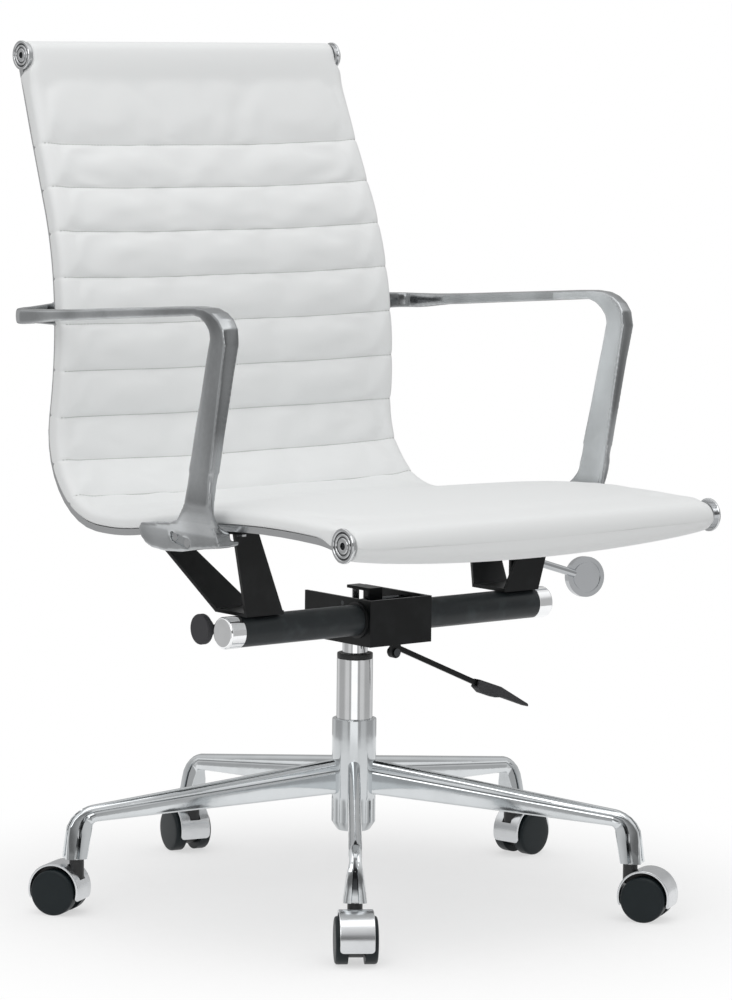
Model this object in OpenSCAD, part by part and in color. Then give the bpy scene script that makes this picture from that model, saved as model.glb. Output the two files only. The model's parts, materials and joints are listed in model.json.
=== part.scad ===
// Swivel office chair: a ribbed leather sling between two polished aluminium side rails,
// on a tilting crossbar, a gas column and a five-arm base with hooded twin-wheel casters.
// The sitter faces -Y. +Z is up, and the origin is on the floor under the column's axis.

/* [Sling profile] */
// Height of the front rod's centre above the floor
front_rod_z = 441.5; // [430:0.5:470]
// Distance of the front rod ahead of the column axis
front_rod_reach = 296; // [285:1:315]
// Heading of the seat where it leaves the front rod, in degrees above level
front_heading = 16.6; // [10:0.2:22]
// Radius of the roll-over behind the front edge
front_arc_r = 190; // [150:5:240]
// Turn of the roll-over, in degrees
front_arc_turn = 14.2; // [12:0.2:16]
// Radius of the long seat pan
pan_arc_r = 1435; // [1350:5:1500]
// Turn of the seat pan, in degrees
pan_arc_turn = 12.4; // [11.6:0.2:13.2]
// Radius of the dip ahead of the bend
dip_arc_r = 412; // [360:2:460]
// Turn of the dip, in degrees
dip_arc_turn = 12.8; // [11:0.2:15]
// Radius of the bend between seat and back
bend_arc_r = 95; // [80:1:110]
// Turn of the bend, in degrees
bend_arc_turn = 94.7; // [91:0.1:98]
// Radius of the lumbar curve
lumbar_arc_r = 512; // [440:2:600]
// Turn of the lumbar curve, in degrees
lumbar_arc_turn = 16.5; // [14:0.1:19]
// Radius of the curve above the lumbar curve
upper_arc_r = 397; // [340:1:460]
// Turn of the curve above the lumbar curve, in degrees
upper_arc_turn = 14; // [11:0.1:17]
// Radius of the nearly straight head panel
head_arc_r = 3900; // [3000:50:4600]
// Turn of the head panel, in degrees
head_arc_turn = 2.5; // [2:0.1:3]

/* [Sling and rails] */
// Half width of the frame at the front rod, to the rails' outer faces
front_half_w = 251.5; // [245:0.5:258]
// Half width of the frame at the top rod, to the rails' outer faces
top_half_w = 219; // [212:0.5:226]
// Inward lean of the rails, in degrees
side_lean = 2.36; // [1.5:0.02:3]
// Thickness of the sling
pad_t = 15.5; // [12:0.5:20]
// Thickness of a side rail
rail_t = 7; // [5:0.5:9]
// Width of a side rail, across the chair
rail_w = 30; // [26:1:36]
// Distance from the profile line down to the rails' upper face
rail_drop = 4; // [3:0.5:5]
// Clearance between the soft sling and the metal
soft_gap = 0.3; // [0.2:0.05:0.5]
// Radius of the front and top rods
rod_r = 10; // [8:0.5:11]
// Radius of the rolled edges around the rods
roll_r = 16; // [14.5:0.5:18]
// Radius of the rails' end eyes
eye_r = 14; // [13:0.5:14.5]
// Thickness of the rails' end eyes
eye_t = 4; // [3:0.5:6]
// Radius of the end discs
disc_r = 16; // [15:0.5:19]
// Thickness of the end discs
disc_t = 4.5; // [4:0.5:6]
// Radius of the end screws' shanks
disc_screw_r = 4; // [3:0.5:5]
// Height of the back spreader's middle
spreader_z = 645; // [630:1:660]
// Depth of the back spreader, along the back
spreader_h = 26; // [20:1:30]
// Thickness of the back spreader
spreader_t = 6; // [4:0.5:8]

/* [Crossbar and brackets] */
// Distance of the crossbar's axis, the tilt axis, ahead of the column axis
bar_reach = 56.7; // [56:0.1:58]
// Height of the crossbar's axis
bar_z = 322; // [319:0.5:325]
// Outer radius of the crossbar tube
bar_r = 17; // [15.5:0.1:17.2]
// Wall of the crossbar tube
bar_wall = 2.5; // [2:0.1:3]
// Half length of the crossbar tube
bar_half = 206; // [200:1:212]
// Length of an end cap's band
cap_len = 20; // [12:1:24]
// Radius of an end cap
cap_r = 17.4; // [17.3:0.1:18.5]
// Length of an end cap's plug inside the tube
cap_plug_len = 14; // [8:1:20]
// Half width across flats of the torsion bar inside the crossbar tube
torsion_bar_r = 7; // [5:0.5:9]
// Half length of the torsion bar
torsion_bar_half = 150; // [120:5:170]
// Thickness of the bracket straps
strap_t = 4; // [3:0.5:5]
// Width of a bracket on the crossbar
strap_w = 50; // [44:1:54]
// Width of a bracket's front leg at the rail
front_leg_w = 31; // [28:1:34]
// Distance of a front leg's outer edge inside the rail's outer face
front_leg_in = 20.5; // [18:0.5:23]
// Width of a bracket's rear leg at the rail
rear_leg_w = 31; // [28:1:34]
// Distance of a rear leg's outer edge inside the rail's outer face
rear_leg_in = 10; // [8:0.5:12]
// Distance of a bracket's inner edge from the middle of the chair
strap_x = 155; // [150:1:156]
// Place of the front legs' top ends, ahead of the column axis
front_leg_reach = 78; // [76:1:84]
// Place of the rear legs' top ends, behind the column axis
rear_leg_back = 58; // [54:1:62]
// Radius of the bracket bolts' shanks
bolt_r = 3; // [2.5:0.5:4]

/* [Tilt housing] */
// Half width of the tilt housing
housing_half_w = 43; // [41:1:47]
// Distance of the housing's front face ahead of the column axis
housing_reach = 80; // [79.5:0.5:84]
// Distance of the housing's rear end behind the column axis
housing_back = 36; // [30:1:42]
// Height of the housing's underside
housing_z = 294; // [291:0.5:297]
// Height of the housing's side walls
housing_h = 51; // [49.5:0.5:55]
// Sheet thickness of the housing
sheet_t = 3.5; // [2.5:0.1:3.8]
// Radius of the column socket inside the housing
socket_r = 22; // [19:0.5:22.5]
// Height of the column socket above the housing's floor
socket_h = 35; // [28:1:36]
// Wall of the crossbar's bushes
bush_wall = 1.5; // [1:0.1:2]
// Width of the bushes' flange beyond their wall
bush_flange = 1.5; // [1:0.1:2]
// Thickness of the bushes' flange
bush_flange_t = 2; // [1.5:0.1:3]
// Radial running clearance of shafts in bearings
run_gap = 0.05; // [0.02:0.01:0.08]

/* [Gas column] */
// Radius of the gas cylinder
cylinder_r = 14; // [13:0.5:15]
// Radius of the cylinder's inside
cylinder_bore_r = 11; // [10:0.5:12]
// Height of the cylinder's lower end
cylinder_bottom = 118; // [112:1:130]
// Radius of the piston rod
piston_rod_r = 5; // [4:0.5:6]
// Length of the piston rod above its bearing
piston_rod_len = 160; // [140:1:180]
// Outer radius of the column tube
tube_r = 20; // [18.5:0.5:21.5]
// Wall of the column tube
tube_wall = 3; // [2:0.5:3.5]
// Height of the column tube's lower end
tube_bottom = 86; // [82:1:90]
// Height of the column tube's upper end
tube_top = 270; // [260:1:272]
// Thickness of the column tube's floor
tube_floor = 4; // [3:0.5:6]
// Length of the guide sleeve inside the tube
guide_len = 80; // [60:1:90]
// Height of the guide sleeve's collar above the tube
collar_h = 6; // [4:0.5:8]
// Height of the thrust bearing
thrust_h = 6; // [5:0.5:8]
// Radius of the thrust bearing
thrust_r = 12; // [10:0.5:14]
// Radius of the release button
button_r = 4; // [3:0.5:5]
// Height of the release button above the socket
button_h = 15.5; // [14.5:0.5:17]

/* [Star base] */
// Number of arms
arm_count = 5; // [5:1:5]
// Distance of the caster stems from the column axis
star_r = 317; // [300:1:330]
// Turn of the base from straight ahead, in degrees
base_turn = -38.1; // [-72:0.1:72]
// Radius of the hub
hub_r = 24.5; // [23:0.5:27]
// Height of the hub's underside
hub_bottom = 78; // [74:1:82]
// Height of the hub's top
hub_top = 203; // [195:1:212]
// Height of the arms' upper edge at the hub
arm_top_in = 159; // [155:1:168]
// Height of the arms' lower edge at the hub
arm_low_in = 120; // [116:1:128]
// Height of the arms' upper edge at the elbow
arm_top_out = 115; // [112:1:119]
// Height of the arms' lower edge at the elbow
arm_low_out = 101.5; // [98:0.5:104]
// Width of an arm
arm_w = 14; // [13:0.5:16]
// Width of an arm's foot
leg_w = 24.5; // [22:0.5:28]
// Thickness of an arm's foot, along the arm
leg_t = 23; // [20:0.5:26]
// Width of the slot down each leg's outer face
leg_slot_w = 6; // [4:0.5:8]
// Depth of that slot
leg_slot_d = 5; // [3:0.5:5.5]
// Height of that slot above the leg's foot
leg_slot_h = 36; // [28:1:42]
// Height of the feet's underside above the floor
leg_z = 62; // [60:0.5:66]
// Radius of the elbows
elbow_r = 33; // [28:1:38]

/* [Casters] */
// Radius of a wheel
wheel_r = 25; // [23:0.5:25.5]
// Width of a wheel
wheel_w = 14; // [11:0.5:15]
// Half width over both wheels
caster_half_w = 22.5; // [21:0.5:24]
// Outer radius of a hood
hood_r = 29.7; // [28.6:0.1:31]
// Thickness of a hood
hood_t = 3; // [2:0.1:3.2]
// Half width of a hood
hood_half_w = 20; // [18:0.5:22]
// Trail of the wheels behind the stem
trail = 20; // [19:0.5:24]
// Radius of the stem
stem_r = 5.5; // [4.5:0.5:6]
// Length of the stem above the neck
stem_len = 34; // [24:1:36]
// Radius of the neck
neck_r = 8; // [7:0.5:9]
// Height of the neck's top above the floor
neck_top = 60; // [58:0.5:61]
// Radius of the axle
axle_r = 3; // [2.5:0.5:4]

/* [Armrests] */
// Rise of an armrest's front corner above the middle of the back spreader
arm_rise = 28; // [20:1:36]
// Distance of an armrest's front corner ahead of the column axis
arm_front_reach = 139; // [134:1:146]
// Distance of the armrests' outer faces outside the rails' front ends
arm_gap = 33.5; // [31:0.5:38]
// Width of an armrest's bar, across the chair
arm_section_w = 19; // [17:0.5:21]
// Thickness of an armrest's bar
arm_section_h = 9.5; // [8:0.5:11]
// Depth of an upright at its top
upright_top_d = 27; // [24:1:30]
// Height of the knee where an upright turns in to its rail
knee_z = 468; // [462:1:474]
// Inward lean of an upright between its top and its knee
knee_in = 4; // [2:0.5:8]
// Width of an upright at its knee, across the chair
knee_w = 11; // [9:0.5:13]
// Distance of an upright's front edge at the knee ahead of the column axis
knee_reach = 103; // [100:1:108]
// Depth of an upright at its knee
knee_d = 43; // [38:1:48]
// Radius of the bend at the back of an armrest
arm_hook_r = 26; // [22:1:32]
// Height of an armrest's section at that bend
arm_hook_h = 16; // [14:1:20]
// Height of an armrest's wing where it meets the back spreader
arm_wing_h = 28; // [24:1:30]
// Thickness of an armrest's foot over its screws, across the chair
arm_foot_t = 18; // [16:0.5:20]
// Height of the armrest feet's underside
arm_foot_z = 408; // [404:1:410]
// Place of the armrest feet's rear end, behind the column axis
arm_foot_back = 39; // [36:1:44]
// Radius of the armrest screws' shanks
arm_screw_r = 2.5; // [2:0.25:3]

/* [Levers] */
// Length of the height lever's strap
lever_len = 145; // [135:1:155]
// Droop of the height lever, in degrees
lever_droop = 23.5; // [18:0.5:28]
// Width of the height lever's strap
lever_w = 6; // [5:0.5:8]
// Thickness of the height lever's strap
lever_t = 4; // [3:0.5:5]
// Length of the height lever's paddle
paddle_len = 81; // [70:1:90]
// Offset of the height lever's pivot from the middle of the chair
lever_x = 11; // [8:0.5:14]
// Depth of the height lever's pivot below the housing
lever_drop = 12; // [10:0.5:14]
// Radius of the lever pins
pin_r = 2.5; // [2:0.25:3]
// Radius of the tension knob
knob_r = 16.5; // [15:0.5:17]
// Thickness of the tension knob
knob_t = 13; // [10:0.5:16]
// Radius of the tension rod
tension_rod_r = 4; // [3:0.5:4.5]
// Distance of the knob's outer face from the middle of the chair
knob_x = 230; // [222:1:234]
// Radius of the lock lever's disc
lock_disc_r = 23; // [20:0.5:25]
// Thickness of the lock lever's disc
lock_disc_t = 9; // [7:0.5:11]
// Radius of the lock lever's rod
lock_rod_r = 4.5; // [3.5:0.5:5.5]
// Length of the lock lever, pivot to disc centre
lock_len = 116; // [104:1:122]
// Droop of the lock lever, in degrees
lock_droop = 17; // [14:0.5:20]
// Turn of the lock lever's disc towards the chair's left, in degrees
lock_disc_turn = 14; // [0:1:20]

/* [Hidden] */
$fn = 64;
eps = 0.01;
far = 600;
round_fn = 32;

chrome = [0.82, 0.83, 0.84];
aluminium = [0.66, 0.67, 0.68];
black_steel = [0.09, 0.09, 0.10];
black_plastic = [0.15, 0.16, 0.17];
leather_white = [0.90, 0.91, 0.90];
steel = [0.6, 0.6, 0.6];

// ---- The side profile: arcs laid end to end, as points [y, z, heading, length so far] ----
ARC_STEPS = 10;
ARCS = [
    [front_arc_r, -front_arc_turn], [pan_arc_r, -pan_arc_turn], [dip_arc_r, dip_arc_turn],
    [bend_arc_r, bend_arc_turn], [lumbar_arc_r, -lumbar_arc_turn],
    [upper_arc_r, -upper_arc_turn], [head_arc_r, head_arc_turn],
];
function arc_len(a) = a[0] * abs(a[1]) * PI / 180;
function arc_point(p, a, part) =
    let (turn = a[1] * part, side = sign(a[1]), r = a[0], end = p[2] + turn)
    [
        p[0] + side * r * (sin(end) - sin(p[2])),
        p[1] + side * r * (cos(p[2]) - cos(end)),
        end,
        p[3] + arc_len(a) * part,
    ];
function arc_points(p, i) =
    i == len(ARCS) ? [] :
    concat(
        [for (k = [1:ARC_STEPS]) arc_point(p, ARCS[i], k / ARC_STEPS)],
        arc_points(arc_point(p, ARCS[i], 1), i + 1)
    );
START = [-front_rod_reach, front_rod_z, front_heading, 0];
PROFILE = concat([START], arc_points(START, 0));
END = PROFILE[len(PROFILE) - 1];
path_len = END[3];
function along(s) = [
    lookup(s, [for (p = PROFILE) [p[3], p[0]]]),
    lookup(s, [for (p = PROFILE) [p[3], p[1]]]),
    lookup(s, [for (p = PROFILE) [p[3], p[2]]]),
];
function beside(p, d) = [p[0] - d * sin(p[2]), p[1] + d * cos(p[2])];
function stations(s0, s1) = concat(
    [along(s0)],
    [for (p = PROFILE) if (p[3] > s0 + 1 && p[3] < s1 - 1) p],
    [along(s1)]
);
function strip(s0, s1, d0, d1) =
    let (p = stations(s0, s1), n = len(p))
    concat([for (q = p) beside(q, d0)], [for (i = [n - 1:-1:0]) beside(p[i], d1)]);
// Station of the seat at a given y, and of the back at a given height
seat_steps = 3 * ARC_STEPS;
back_steps = 4 * ARC_STEPS;
function seat_station(y) = lookup(y, [for (i = [0:seat_steps]) [PROFILE[i][0], PROFILE[i][3]]]);
function back_station(z) =
    lookup(z, [for (i = [back_steps:len(PROFILE) - 1]) [PROFILE[i][1], PROFILE[i][3]]]);
rail_top = -rail_drop;
rail_low = -rail_drop - rail_t;
pad_low = rail_top + soft_gap;
// Gap of a flat part on a curved rail
seat_gap = 0.1;
pad_top = pad_low + pad_t;
function rail_under(y) = beside(along(seat_station(y)), rail_low)[1];
// Place on a seat rail's underside, square below the profile line at a given Y, with its heading
function rail_seat(y) =
    let (p = along(seat_station(y)), q = beside(p, rail_low - seat_gap)) [q[0], q[1], p[2]];

// ---- The rails' outer faces: planes that lean in and close towards the top ----
side_splay = atan(
    (front_half_w - top_half_w - tan(side_lean) * (END[1] - START[1])) / (END[0] - START[0])
);
function side_x(y, z) =
    front_half_w - tan(side_lean) * (z - START[1]) - tan(side_splay) * (y - START[0]);

module side_block(inset) {
    translate([front_half_w - inset, START[0], START[1]])
        rotate([0, -side_lean, side_splay])
            translate([-2 * far, -far, -far])
                cube([2 * far, 3 * far, 3 * far]);
}
module between_sides(inset) {
    intersection() {
        children();
        side_block(inset);
        mirror([1, 0, 0]) side_block(inset);
    }
}
module side_slice(inset, t) {
    difference() {
        intersection() {
            children();
            side_block(inset);
        }
        side_block(inset + t);
    }
}
// Extrudes an outline drawn in (y, z) along X
module across(x0, x1) {
    translate([x0, 0, 0]) rotate([90, 0, 90]) linear_extrude(x1 - x0) children();
}
// A cylinder along X, Y
module x_cyl(r, x0, x1, y, z) {
    translate([x0, y, z]) rotate([0, 90, 0]) cylinder(r = r, h = x1 - x0);
}
module y_cyl(r, y0, y1, x, z) {
    translate([x, y0, z]) rotate([-90, 0, 0]) cylinder(r = r, h = y1 - y0);
}
module both_sides() {
    children();
    mirror([1, 0, 0]) children();
}

// ---- Star base ----
bar_y = -bar_reach;
leg_in = star_r - leg_t / 2;
leg_out = star_r + leg_t / 2;
socket_gap = run_gap;
leg_taper = 3;
// The elbow's arc runs on from the arm's falling upper edge without a step.
module star_arm_outline() {
    offset_in = hub_r / 2;
    fall = atan((arm_top_in - arm_top_out) / (leg_out - offset_in));
    elbow_z = arm_top_out + elbow_r * (tan(fall) - 1 / cos(fall));
    difference() {
        polygon([
            [offset_in, arm_low_in], [leg_in - 8, arm_low_out], [leg_in, leg_z],
            [leg_out, leg_z], [leg_out, arm_top_out], [offset_in, arm_top_in],
        ]);
        translate([leg_out - elbow_r, elbow_z]) difference() {
            translate([elbow_r * sin(fall), 0]) square([elbow_r + 1, elbow_r + 5]);
            circle(elbow_r, $fn = 128);
        }
    }
}
module star_arm() {
    difference() {
        intersection() {
            rotate([90, 0, 0])
                translate([0, 0, -leg_w / 2])
                    linear_extrude(leg_w) star_arm_outline();
            rotate([90, 0, 90])
                linear_extrude(leg_out + 1)
                    polygon([
                        [-leg_w / 2, leg_z - 1], [leg_w / 2, leg_z - 1], [leg_w / 2, leg_z + leg_taper],
                        [arm_w / 2, arm_top_out], [arm_w / 2, arm_top_in + 1],
                        [-arm_w / 2, arm_top_in + 1], [-arm_w / 2, arm_top_out],
                        [-leg_w / 2, leg_z + leg_taper],
                    ]);
        }
        translate([leg_out - leg_slot_d, -leg_slot_w / 2, leg_z - 1])
            cube([leg_slot_d + 1, leg_slot_w, leg_slot_h + 1]);
    }
}
arm_step = 360 / arm_count;
module at_arm(i) {
    rotate([0, 0, -90 + base_turn + i * arm_step]) children();
}
hub_chamfer = 6;
hub_lead = 9;
module star_base() {
    color(chrome) difference() {
        union() {
            translate([0, 0, hub_bottom + hub_lead]) cylinder(r = hub_r, h = hub_top - hub_bottom - hub_lead);
            translate([0, 0, hub_bottom]) cylinder(r1 = hub_r - hub_chamfer, r2 = hub_r, h = hub_lead);
            for (i = [0:arm_count - 1]) at_arm(i) star_arm();
        }
        translate([0, 0, tube_bottom]) cylinder(r = tube_r + socket_gap, h = hub_top);
        translate([0, 0, hub_bottom - 1]) cylinder(r = piston_rod_r + 4, h = tube_bottom);
        for (i = [0:arm_count - 1])
            at_arm(i)
                translate([star_r, 0, leg_z - 1])
                    cylinder(r = stem_r + run_gap, h = neck_top + stem_len - leg_z + 2);
    }
}

// ---- Gas column ----
module column_tube() {
    color(chrome) difference() {
        translate([0, 0, tube_bottom]) cylinder(r = tube_r, h = tube_top - tube_bottom);
        translate([0, 0, tube_bottom + tube_floor]) cylinder(r = tube_r - tube_wall, h = tube_top);
        translate([0, 0, tube_bottom - 1]) cylinder(r = piston_rod_r + run_gap, h = tube_floor + 2);
    }
}
module guide_sleeve() {
    color(black_plastic) difference() {
        union() {
            translate([0, 0, tube_top - guide_len])
                cylinder(r = tube_r - tube_wall - 0.02, h = guide_len);
            translate([0, 0, tube_top]) cylinder(r = tube_r - 0.2, h = collar_h);
        }
        translate([0, 0, tube_top - guide_len - 1])
            cylinder(r = cylinder_r + run_gap, h = guide_len + collar_h + 2);
    }
}
thrust_z = tube_bottom + tube_floor;
module thrust_bearing() {
    color(steel) difference() {
        translate([0, 0, thrust_z]) cylinder(r = thrust_r, h = thrust_h);
        translate([0, 0, thrust_z - 1]) cylinder(r = piston_rod_r + run_gap, h = thrust_h + 2);
    }
}
rod_shoulder_h = 3;
piston_h = 8;
piston_r = cylinder_bore_r - run_gap;
clip_h = 2;
module piston_rod() {
    shoulder_z = thrust_z + thrust_h + run_gap;
    color(steel) union() {
        translate([0, 0, tube_bottom - clip_h - 2])
            cylinder(r = piston_rod_r, h = shoulder_z - tube_bottom + clip_h + 2 + piston_rod_len);
        translate([0, 0, shoulder_z]) cylinder(r = piston_rod_r + 3, h = rod_shoulder_h);
        translate([0, 0, tube_bottom - clip_h - run_gap]) cylinder(r = piston_rod_r + 2, h = clip_h);
        translate([0, 0, shoulder_z + piston_rod_len - piston_h]) cylinder(r = piston_r, h = piston_h);
    }
}
socket_top = housing_z + sheet_t + socket_h;
gland_h = 10;
crown_h = 12;
module gas_cylinder() {
    color(chrome) difference() {
        translate([0, 0, cylinder_bottom]) cylinder(r = cylinder_r, h = socket_top - cylinder_bottom);
        translate([0, 0, cylinder_bottom + gland_h])
            cylinder(r = cylinder_bore_r, h = socket_top - crown_h - cylinder_bottom - gland_h);
        translate([0, 0, cylinder_bottom - 1]) cylinder(r = piston_rod_r + run_gap, h = gland_h + 2);
        translate([0, 0, socket_top - crown_h - 1]) cylinder(r = button_r + run_gap, h = crown_h + 2);
    }
}
button_top = socket_top + button_h;
module release_button() {
    color(steel) translate([0, 0, socket_top - crown_h + 4])
        cylinder(r = button_r, h = button_top - socket_top + crown_h - 4);
}

// ---- Tilt housing ----
housing_front = -housing_reach;
housing_len = housing_reach + housing_back;
housing_top = housing_z + housing_h;
bush_r = bar_r + run_gap + bush_wall;
release_pin_y = -socket_r - 9;
release_pin_z = socket_top + 5.5;
tension_y = -21;
tension_z = bar_z + 0.5;
lug_t = 4;
lug_r = 6.5;
lever_z = housing_z - lever_drop;
lug_y = bar_y - lug_t / 2;
module tilt_housing() {
    color(black_steel) difference() {
        union() {
            difference() {
                translate([-housing_half_w, housing_front, housing_z])
                    cube([2 * housing_half_w, housing_len, housing_h]);
                translate([-housing_half_w + sheet_t, housing_front + sheet_t, housing_z + sheet_t])
                    cube([2 * (housing_half_w - sheet_t), housing_len, housing_h]);
            }
            translate([0, 0, housing_z]) cylinder(r = socket_r, h = sheet_t + socket_h);
            translate([lever_x - lug_r, lug_y, lever_z])
                cube([2 * lug_r, lug_t, lever_drop + 1]);
            y_cyl(lug_r, lug_y, lug_y + lug_t, lever_x, lever_z);
        }
        translate([0, 0, housing_z - 1])
            cylinder(r = cylinder_r + run_gap, h = sheet_t + socket_h + 2);
        x_cyl(bush_r + 0.02, -housing_half_w - 1, housing_half_w + 1, bar_y, bar_z);
        x_cyl(pin_r + 0.02, -housing_half_w - 1, housing_half_w + 1, release_pin_y, release_pin_z);
        x_cyl(tension_rod_r + run_gap, -housing_half_w - 1, -housing_half_w + sheet_t + 1,
              tension_y, tension_z);
        y_cyl(pin_r + 0.02, lug_y - 1, lug_y + lug_t + 1, lever_x, lever_z);
    }
}
module crossbar_bushes() {
    color(black_plastic) both_sides() difference() {
        union() {
            x_cyl(bush_r, housing_half_w - sheet_t, housing_half_w, bar_y, bar_z);
            x_cyl(bush_r + bush_flange, housing_half_w, housing_half_w + bush_flange_t, bar_y, bar_z);
        }
        x_cyl(bar_r + run_gap, housing_half_w - sheet_t - 1, housing_half_w + bush_flange_t + 1,
              bar_y, bar_z);
    }
}
plate_t = 3.5;
plate_w = 18;
plate_rise = button_top + soft_gap - release_pin_z;
module release_plate() {
    color(black_steel) difference() {
        across(-plate_w / 2, plate_w / 2) {
            translate([release_pin_y, release_pin_z]) circle(pin_r + 2.5);
            translate([release_pin_y - pin_r - 2.5, release_pin_z]) square([plate_t, plate_rise + plate_t]);
            translate([release_pin_y - pin_r - 2.5, button_top + soft_gap])
                square([-release_pin_y + pin_r + 2.5 + button_r + 0.5, plate_t]);
        }
        x_cyl(pin_r + run_gap, -plate_w, plate_w, release_pin_y, release_pin_z);
    }
}
module release_pin() {
    color(steel)
        x_cyl(pin_r, -housing_half_w, housing_half_w, release_pin_y, release_pin_z);
}

// ---- Height lever: drawn along +X from its pivot, then drooped ----
lever_y = lug_y + lug_t + 0.3;
module at_lever() {
    translate([lever_x, lever_y, lever_z]) rotate([0, lever_droop, 0]) children();
}
lever_rise = 6.4;
lever_eye_r = 6.5;
module height_lever() {
    color(black_steel) at_lever() difference() {
        union() {
            y_cyl(lever_eye_r, 0, lever_t, 0, 0);
            translate([1, 0, 0]) cube([lever_eye_r, lever_t, lever_rise]);
            translate([1, 0, lever_rise - lever_w / 2]) cube([lever_len - 1, lever_t, lever_w]);
        }
        y_cyl(pin_r + run_gap, -1, lever_t + 1, 0, 0);
    }
}
paddle_grip = 17.5;
paddle_side = 4;
// The paddle's side view, from where it grips the strap to its tip
module paddle_outline() {
    half = lever_w / 2;
    polygon([
        [0, -half - 2], [10, -half - 5.5], [30, -half - 4], [40, -half - 0.5],
        [paddle_len, -1], [paddle_len - 1.5, 2], [34, half + 4], [0, half + 1.5],
    ]);
}
module lever_paddle() {
    color(black_plastic) at_lever() difference() {
        translate([lever_len - paddle_grip, 0, lever_rise])
            rotate([90, 0, 0])
                translate([0, 0, -lever_t - paddle_side])
                    linear_extrude(lever_t + 2 * paddle_side) paddle_outline();
        translate([lever_len - paddle_grip - 1, -0.02, lever_rise - lever_w / 2 - 0.02])
            cube([paddle_grip + 1.02, lever_t + 0.04, lever_w + 0.04]);
    }
}
module lever_pin() {
    color(steel) union() {
        y_cyl(pin_r, lug_y - 2, lever_y + lever_t + 2.5, lever_x, lever_z);
        y_cyl(pin_r + 2, lug_y - 2, lug_y, lever_x, lever_z);
        y_cyl(pin_r + 2, lever_y + lever_t + 0.3, lever_y + lever_t + 2.5, lever_x, lever_z);
    }
}

// ---- Tension knob ----
tension_in = housing_half_w - sheet_t - 8;
module tension_rod() {
    color(steel) union() {
        x_cyl(tension_rod_r, -knob_x + knob_t / 2, -tension_in, tension_y, tension_z);
        x_cyl(tension_rod_r + 2.5, -housing_half_w + sheet_t + 0.3, -tension_in, tension_y, tension_z);
    }
}
module tension_knob() {
    color(black_plastic) difference() {
        union() {
            x_cyl(knob_r, -knob_x, -knob_x + knob_t * 0.55, tension_y, tension_z);
            x_cyl(knob_r - 6, -knob_x, -knob_x + knob_t, tension_y, tension_z);
        }
        x_cyl(tension_rod_r + 0.02, -knob_x + knob_t / 2, -knob_x + knob_t + 1, tension_y, tension_z);
    }
}

// ---- Crossbar ----
module crossbar_tube() {
    color(black_steel) difference() {
        x_cyl(bar_r, -bar_half, bar_half, bar_y, bar_z);
        x_cyl(bar_r - bar_wall, -bar_half - 1, bar_half + 1, bar_y, bar_z);
        both_sides() translate([(strap_x + strap_out) / 2, bar_y, bar_z])
            cylinder(r = bolt_r + 0.05, h = bar_r + 1);
    }
}
cap_round = 2;
module crossbar_caps() {
    color(chrome) both_sides() union() {
        x_cyl(cap_r, bar_half, bar_half + cap_len - cap_round, bar_y, bar_z);
        translate([bar_half + cap_len - cap_round, bar_y, bar_z])
            rotate([0, 90, 0]) cylinder(r1 = cap_r, r2 = cap_r - cap_round, h = cap_round);
        x_cyl(bar_r - bar_wall - 0.02, bar_half - cap_plug_len, bar_half + eps, bar_y, bar_z);
    }
}
collar_w = 10;
module torsion_bar() {
    color(steel) union() {
        translate([-torsion_bar_half, bar_y, bar_z])
            rotate([0, 90, 0]) cylinder(r = torsion_bar_r, h = 2 * torsion_bar_half, $fn = 6);
        both_sides()
            x_cyl(bar_r - bar_wall - 0.02, torsion_bar_half - collar_w, torsion_bar_half, bar_y, bar_z);
    }
}

// ---- Brackets: a bent strap that stands on the crossbar and carries the rails ----
web_z = bar_z + bar_r;
web_front = bar_y - 15;
web_rear = bar_y + 41;
strap_out = strap_x + strap_w;
front_top_y = -front_leg_reach;
rear_top_y = rear_leg_back;
tab_d = 26;
module strap_leg(y0, y1, leg_in, leg_w) {
    z1 = rail_under(y1);
    rise = z1 - web_z;
    lean = atan2(y1 - y0, rise);
    // The end stops short, so the strap's upper corner stays under the rail
    span = norm([y1 - y0, rise]) - 0.5 - strap_t * tan(abs(lean));
    top_out = side_x(y1, z1) - leg_in;
    // Drawn flat in its own plane, with X across the chair and Y up the leg
    translate([0, y0, web_z]) rotate([90 - lean, 0, 0])
        translate([0, 0, y1 > y0 ? 0 : -strap_t])
            linear_extrude(strap_t)
                polygon([
                    [strap_x + 0.2, 0.5], [strap_out - 0.2, 0.5],
                    [top_out, span], [top_out - leg_w, span],
                ]);
}
tab_in = 12;
module strap_tab(y, leg_in, leg_w) {
    p = rail_seat(y);
    x1 = side_x(p[0], p[1]) - tab_in;
    x0 = side_x(p[0], p[1]) - leg_in - leg_w;
    translate([x0, p[0], p[1]])
        rotate([p[2], 0, 0])
            translate([0, -tab_d / 2, -strap_t])
                cube([x1 - x0, tab_d, strap_t]);
}
front_tab_y = front_top_y - tab_d / 2 + 3;
rear_tab_y = rear_top_y + tab_d / 2 - 6;
tab_bolt_in = 22;
module at_tab_bolt(y) {
    p = rail_seat(y);
    translate([side_x(p[0], p[1]) - tab_bolt_in, p[0], p[1]])
        rotate([p[2], 0, 0]) children();
}
web_bolt_x = (strap_x + strap_out) / 2;
lock_x = strap_out - 29;
lock_y = bar_y;
lock_z = web_z + 40.5;
lock_eye_r = 7;
lock_eye_half = 5;
lock_lug_y = lock_y - lock_eye_half - soft_gap - strap_t;
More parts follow.
